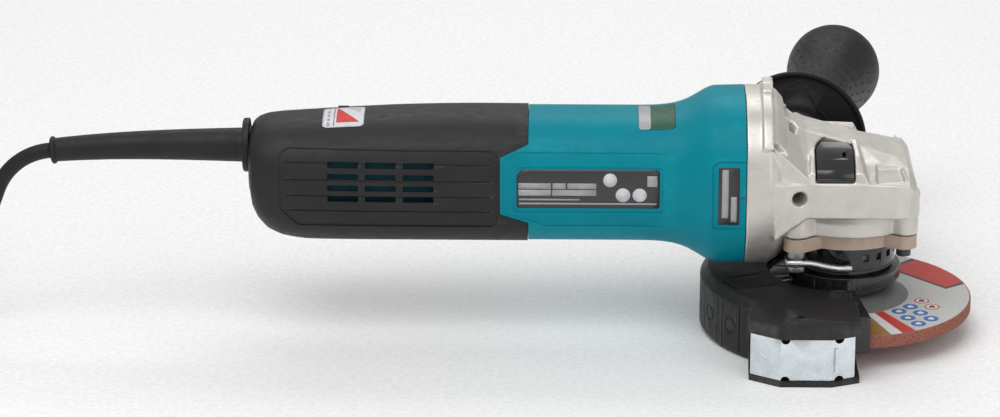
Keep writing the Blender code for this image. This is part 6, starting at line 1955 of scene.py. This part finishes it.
def wheel_label():
    """The printed paper on the wheel: coloured sectors, stripes and plain discs, with no text."""
    paper = turned(
        "wheel_paper",
        [
            (32.0 * MM, WHEEL_HIGH), (PAPER_R, WHEEL_HIGH), (PAPER_R, WHEEL_HIGH + 0.10 * MM),
            (32.0 * MM, WHEEL_HIGH + 0.10 * MM),
        ],
        PAPER, steps=192, edge=0,
    )
    show(paper, "spindle", "abrasive")
    dish = turned(
        "wheel_hub_print",
        [
            (11.6 * MM, WHEEL_HIGH + 5.0 * MM), (24.6 * MM, WHEEL_HIGH + 5.0 * MM),
            (32.0 * MM, WHEEL_HIGH - 0.1 * MM), (32.0 * MM, WHEEL_HIGH + 0.12 * MM),
            (24.6 * MM, WHEEL_HIGH + 5.12 * MM), (11.6 * MM, WHEEL_HIGH + 5.12 * MM),
        ],
        HUB_GREY, steps=160, edge=0,
    )
    show(dish, "spindle", "abrasive")
    lift = 0.10 * MM
    for turn in (0, 180):
        spin = Matrix.Rotation(math.radians(turn), 2)

        def spun(points):
            return [tuple(spin @ Vector(p)) for p in points]

        field = [(0.0258, 0.0350), (0.0511, 0.0074)] + arc(PAPER_R, 14, 50, 24)
        border = [(0.0240, 0.0345), (0.0510, 0.0050)] + arc(PAPER_R - 0.05 * MM, 11.5, 52.5, 24)
        flat_piece(f"label_border_{turn}", spun(border), lift, PAPER_DARK)
        flat_piece(f"label_field_{turn}", spun(field), lift + 0.04 * MM, PAPER_RED)
        flat_piece(
            f"label_ochre_{turn}",
            spun(arc(32.2 * MM, -108, -72.5, 16) + arc(PAPER_R, -71.5, -104, 24)), lift,
            PAPER_OCHRE,
        )
        flat_piece(
            f"label_light_{turn}",
            spun(arc(32.2 * MM, -72.0, -65.5, 6) + arc(PAPER_R, -66.2, -71.2, 6)), lift,
            PAPER_WHITE,
        )
        flat_piece(
            f"label_stripe_{turn}",
            spun(arc(32.2 * MM, -65.0, -56.5, 6) + arc(PAPER_R, -59.0, -65.8, 8)), lift, PAPER_RED,
        )
        discs = (
            (37.7, -12.0, 1), (42.1, -20.2, 1), (31.6, -20.3, 0), (25.6, -26.8, 0),
            (35.8, -28.7, 0), (29.2, -35.7, 0), (40.3, -36.5, 0), (33.7, -43.4, 0),
        )
        for k, (x, y, ringed) in enumerate(discs):
            centre = Vector((x * MM, y * MM))
            if centre.length < 35 * MM and not ringed:
                centre = centre.normalized() * max(centre.length, 36.2 * MM)
            disc = [
                (centre.x + 3.7 * MM * math.cos(a), centre.y + 3.7 * MM * math.sin(a))
                for a in (2 * math.pi * n / 40 for n in range(40))
            ]
            inner = [
                (centre.x + 2.9 * MM * math.cos(a), centre.y + 2.9 * MM * math.sin(a))
                for a in (2 * math.pi * n / 40 for n in range(40))
            ]
            flat_piece(f"label_disc_{turn}_{k}", spun(disc), lift, PAPER_RED if ringed else PAPER_BLUE)
            if ringed:
                flat_piece(f"label_disc_face_{turn}_{k}", spun(inner), lift + 0.04 * MM, PAPER_WHITE)
            mark = [
                (centre.x + dx * MM, centre.y + dy * MM)
                for dx, dy in ((-1.3, -1.5), (1.3, -1.5), (1.5, 0.4), (0.0, 1.9), (-1.5, 0.4))
            ]
            flat_piece(
                f"label_mark_{turn}_{k}", spun(mark), lift + 0.08 * MM,
                PAPER_DARK if ringed else PAPER_WHITE,
            )


HUB_GREY = printed("wheel_hub_print", (0.13, 0.13, 0.128), 0.5)


def spindle_parts():
    """The backing flange and the lock nut."""
    low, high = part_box("inner_flange")
    flange = turned(
        "backing_flange",
        [
            (7.1 * MM, high[2]), (15 * MM, high[2]), (22.5 * MM, high[2] - 3 * MM),
            (22.5 * MM, 14.9 * MM), (10.8 * MM, 14.9 * MM), (10.8 * MM, low[2]), (7.1 * MM, low[2]),
        ],
        SATIN,
        steps=128,
    )
    show(flange, "spindle", "black_steel", "inner_flange")
    low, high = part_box("lock_nut")
    nut = turned(
        "clamp_nut",
        [
            (7.1 * MM, low[2]), (15 * MM, low[2]), (20 * MM, low[2] + 1.4 * MM), (20 * MM, high[2]),
            (7.1 * MM, high[2]),
        ],
        SATIN, steps=128, edge=0.3 * MM,
    )
    holes = [
        span(
            f"wrench_hole_{k}", 2.4 * MM, -4 * MM, 5 * MM, "Z",
            (
                14.5 * MM * math.cos(math.radians(45 + 90 * k)),
                14.5 * MM * math.sin(math.radians(45 + 90 * k)), 0,
            ),
            steps=24,
        )
        for k in range(4)
    ]
    cut(nut, [merged("wrench_holes", holes)])
    show(nut, "spindle", "black_steel", "lock_nut")


# ---- side handle ------------------------------------------------------------------------------
SEAT_DEPTH = 2.2 * MM
GRIP_FLANGE, GRIP_LONG = 21 * MM, 152 * MM


def grip_frame():
    """A matrix that puts local +Z along the side handle, from the spot face outwards."""
    direction = grip_direction(1)
    start = Vector((HANDLE_X, SIDE_Y, HANDLE_Z)) - direction * SEAT_DEPTH
    return Matrix.Translation(start) @ facing(direction)


PAD_TURN = -32.0


def side_grip():
    """The moulded grip: ball end, waist, hand flange and a raised pad towards the housing."""
    ends = (
        (0.0, GRIP_LONG), (0.0110, GRIP_LONG), (0.0155, GRIP_LONG - 0.0008),
        (0.0190, GRIP_LONG - 0.0024), (0.0216, GRIP_LONG - 0.0046), (0.0232, GRIP_LONG - 0.0078),
        (0.0240, GRIP_LONG - 0.0115), (0.0241, GRIP_LONG - 0.0150), (0.0236, GRIP_LONG - 0.0205),
        (0.0225, GRIP_LONG - 0.0270), (0.0208, GRIP_LONG - 0.0355), (0.0190, GRIP_LONG - 0.0450),
        (0.0177, GRIP_LONG - 0.0550), (0.0170, GRIP_LONG - 0.0650), (0.0166, GRIP_LONG - 0.0740),
        (0.0166, GRIP_LONG - 0.0820), (0.0170, GRIP_LONG - 0.0910), (0.0176, GRIP_LONG - 0.1000),
        (0.0187, GRIP_LONG - 0.1090), (0.0200, GRIP_LONG - 0.1160),
    )
    flange = (
        (0.0222, GRIP_FLANGE + 0.0065), (0.0300, GRIP_FLANGE + 0.0045),
        (0.0338, GRIP_FLANGE + 0.0030), (0.0342, GRIP_FLANGE + 0.0012), (0.0335, GRIP_FLANGE),
        (0.0318, GRIP_FLANGE + 0.0004), (0.0312, GRIP_FLANGE + 0.0018),
        (0.0175, GRIP_FLANGE + 0.0020), (0.0175, GRIP_FLANGE - 0.0110),
        (0.0165, GRIP_FLANGE - 0.0120), (0.0042, GRIP_FLANGE - 0.0120),
        (0.0042, GRIP_FLANGE + 0.0180), (0.0072, GRIP_FLANGE + 0.0180),
        (0.0072, GRIP_FLANGE + 0.0260), (0.0, GRIP_FLANGE + 0.0260),
    )
    body = turned("handle_grip", ends + flange, GRIP, steps=160, edge=0.5 * MM, turn=Matrix.Identity(4))
    pad = box(
        "grip_pad", (-15.5 * MM, -24 * MM, GRIP_FLANGE + 0.6 * MM),
        (15.5 * MM, 24 * MM, GRIP_FLANGE + 3 * MM),
    )
    join(body, [pad])
    body.matrix_world = grip_frame()
    pad.matrix_world = grip_frame() @ Matrix.Rotation(math.radians(PAD_TURN), 4, "Z") @ pad.matrix_basis
    show(body, "side_handle", "black_rubber", "side_grip")
    dots = []
    for row in range(7):
        for column in range(26):
            a = math.radians(column * 360 / 26 + (row % 2) * 6.9)
            z = GRIP_LONG - (0.030 + 0.0105 * row)
            radius = 0.0
            for (r0, z0), (r1, z1) in zip(ends, ends[1:]):
                if z1 <= z <= z0:
                    radius = r0 + (r1 - r0) * (z0 - z) / (z0 - z1)
            dots.append(((radius * math.cos(a), radius * math.sin(a), z), 0.55 * MM))
    bm = bmesh.new()
    for spot, size in dots:
        bmesh.ops.create_icosphere(bm, subdivisions=1, radius=size, matrix=Matrix.Translation(spot))
    field = from_bmesh("grip_dots", bm, RUBBER)
    field.matrix_world = grip_frame()
    show(field, "side_handle", "black_rubber")


def side_stud():
    profile = [(0.0, -10 * MM), (3.9 * MM, -10 * MM)]
    for k in range(7):
        profile += [(3.9 * MM, (-9.5 + 1.25 * k) * MM), (3.4 * MM, (-8.9 + 1.25 * k) * MM)]
    profile += [
        (3.9 * MM, GAP), (8.8 * MM, GAP), (8.8 * MM, GRIP_FLANGE - 12.3 * MM),
        (3.9 * MM, GRIP_FLANGE - 12.3 * MM), (3.9 * MM, GRIP_FLANGE + 18.3 * MM),
        (6.6 * MM, GRIP_FLANGE + 18.3 * MM), (6.6 * MM, GRIP_FLANGE + 25.2 * MM),
        (0.0, GRIP_FLANGE + 25.2 * MM),
    ]
    stud = turned("handle_stud", profile, LEVER_STEEL, steps=64, edge=0.15 * MM, turn=Matrix.Identity(4))
    stud.matrix_world = grip_frame()
    show(stud, "side_handle", "steel", "side_stud")


# ---- cord's boot and tie ------------------------------------------------------------------------
def cord_boot():
    """The strain relief: a flange outside the cover, a tapering sleeve and a ring at its end."""
    path, radii = [], []
    for k in range(41):
        share = k / 40
        path.append(
            Vector(
                (
                    -290.5 * MM + (BOOT_END.x + 290.5 * MM) * share, 0.0,
                    BOOT_Z + (BOOT_END.z - BOOT_Z) * share**3,
                )
            )
        )
        radii.append((8.4 - 2.7 * share) * MM)
    sleeve = solid_tube("boot_sleeve", path, 1.0, None, radii, 12)
    body = turned(
        "strain_relief",
        [
            (0.0, -0.2778), (0.0111, -0.2778), (0.0111, -0.2801), (0.0093, -0.2801),
            (0.0093, REAR_X - GAP), (0.0131, REAR_X - GAP), (0.0131, REAR_X - 0.0030),
            (0.0122, REAR_X - 0.0036), (0.0, REAR_X - 0.0036),
        ],
        RUBBER, "X", (0, 0, BOOT_Z), 96,
    )
    ring = turned(
        "boot_ring",
        [(0.0, -0.0024), (0.0063, -0.0024), (0.0069, -0.0012), (0.0063, -0.0002), (0.0, -0.0002)],
        steps=64, turn=Matrix.Translation(path[-1]) @ facing(BOOT_HEADING),
    )
    ring.matrix_world = Matrix.Translation(path[-1]) @ facing(BOOT_HEADING)
    join(body, [sleeve, ring])
    show(body, "housing", "black_rubber", "cord_boot")


# ---- the rest of the frame ----------------------------------------------------------------------
def dress_nodes():
    """CAD nodes that stay in view, or inside the housings, get finished materials of their own."""
    looks = {
        STEEL: (
            "spindle", "ring_gear", "pinion", "armature_shaft", "spindle_bearing",
            "needle_bearing", "front_bearing", "rear_bearing", "cover_screw",
        ),
        IRON: ("armature_core", "stator_core"),
        COPPER: ("winding_front", "winding_rear", "commutator", "field_coil_top", "field_coil_bottom"),
        BRASS: ("brush_holder_right", "brush_holder_left"),
        CARBON: ("carbon_brush_right", "carbon_brush_left"),
        BLACK: ("fan", "baffle_plate", "switch_module", "speed_controller", "cord_clamp"),
        SATIN: ("cord_tie",),
    }
    for mat, names in looks.items():
        for name in names:
            mesh = frame["nodes"][name].data
            mesh.materials.clear()
            mesh.materials.append(mat)


motor_housing()
side_label()
serial_label()
quality_sticker()
rear_cover()
vent_liner()
dial_sticker()
speed_dial()
switch_slider()
gear_housing()
handle_threads()
bearing_box()
shaft_lock()
for index, (screw_x, screw_y) in enumerate(BOX_SCREWS):
    socket_screw(f"flange_screw_{index + 1}", screw_x, screw_y, f"box_screw_{index + 1}")
lever_pin()
wheel_guard()
clamp_band()
cutting_cover()
guard_plate()
guard_lever()
grinding_wheel()
wheel_label()
spindle_parts()
side_grip()
side_stud()
cord_boot()
dress_nodes()

for cutter in list(CUTTERS.objects):
    bpy.data.objects.remove(cutter)
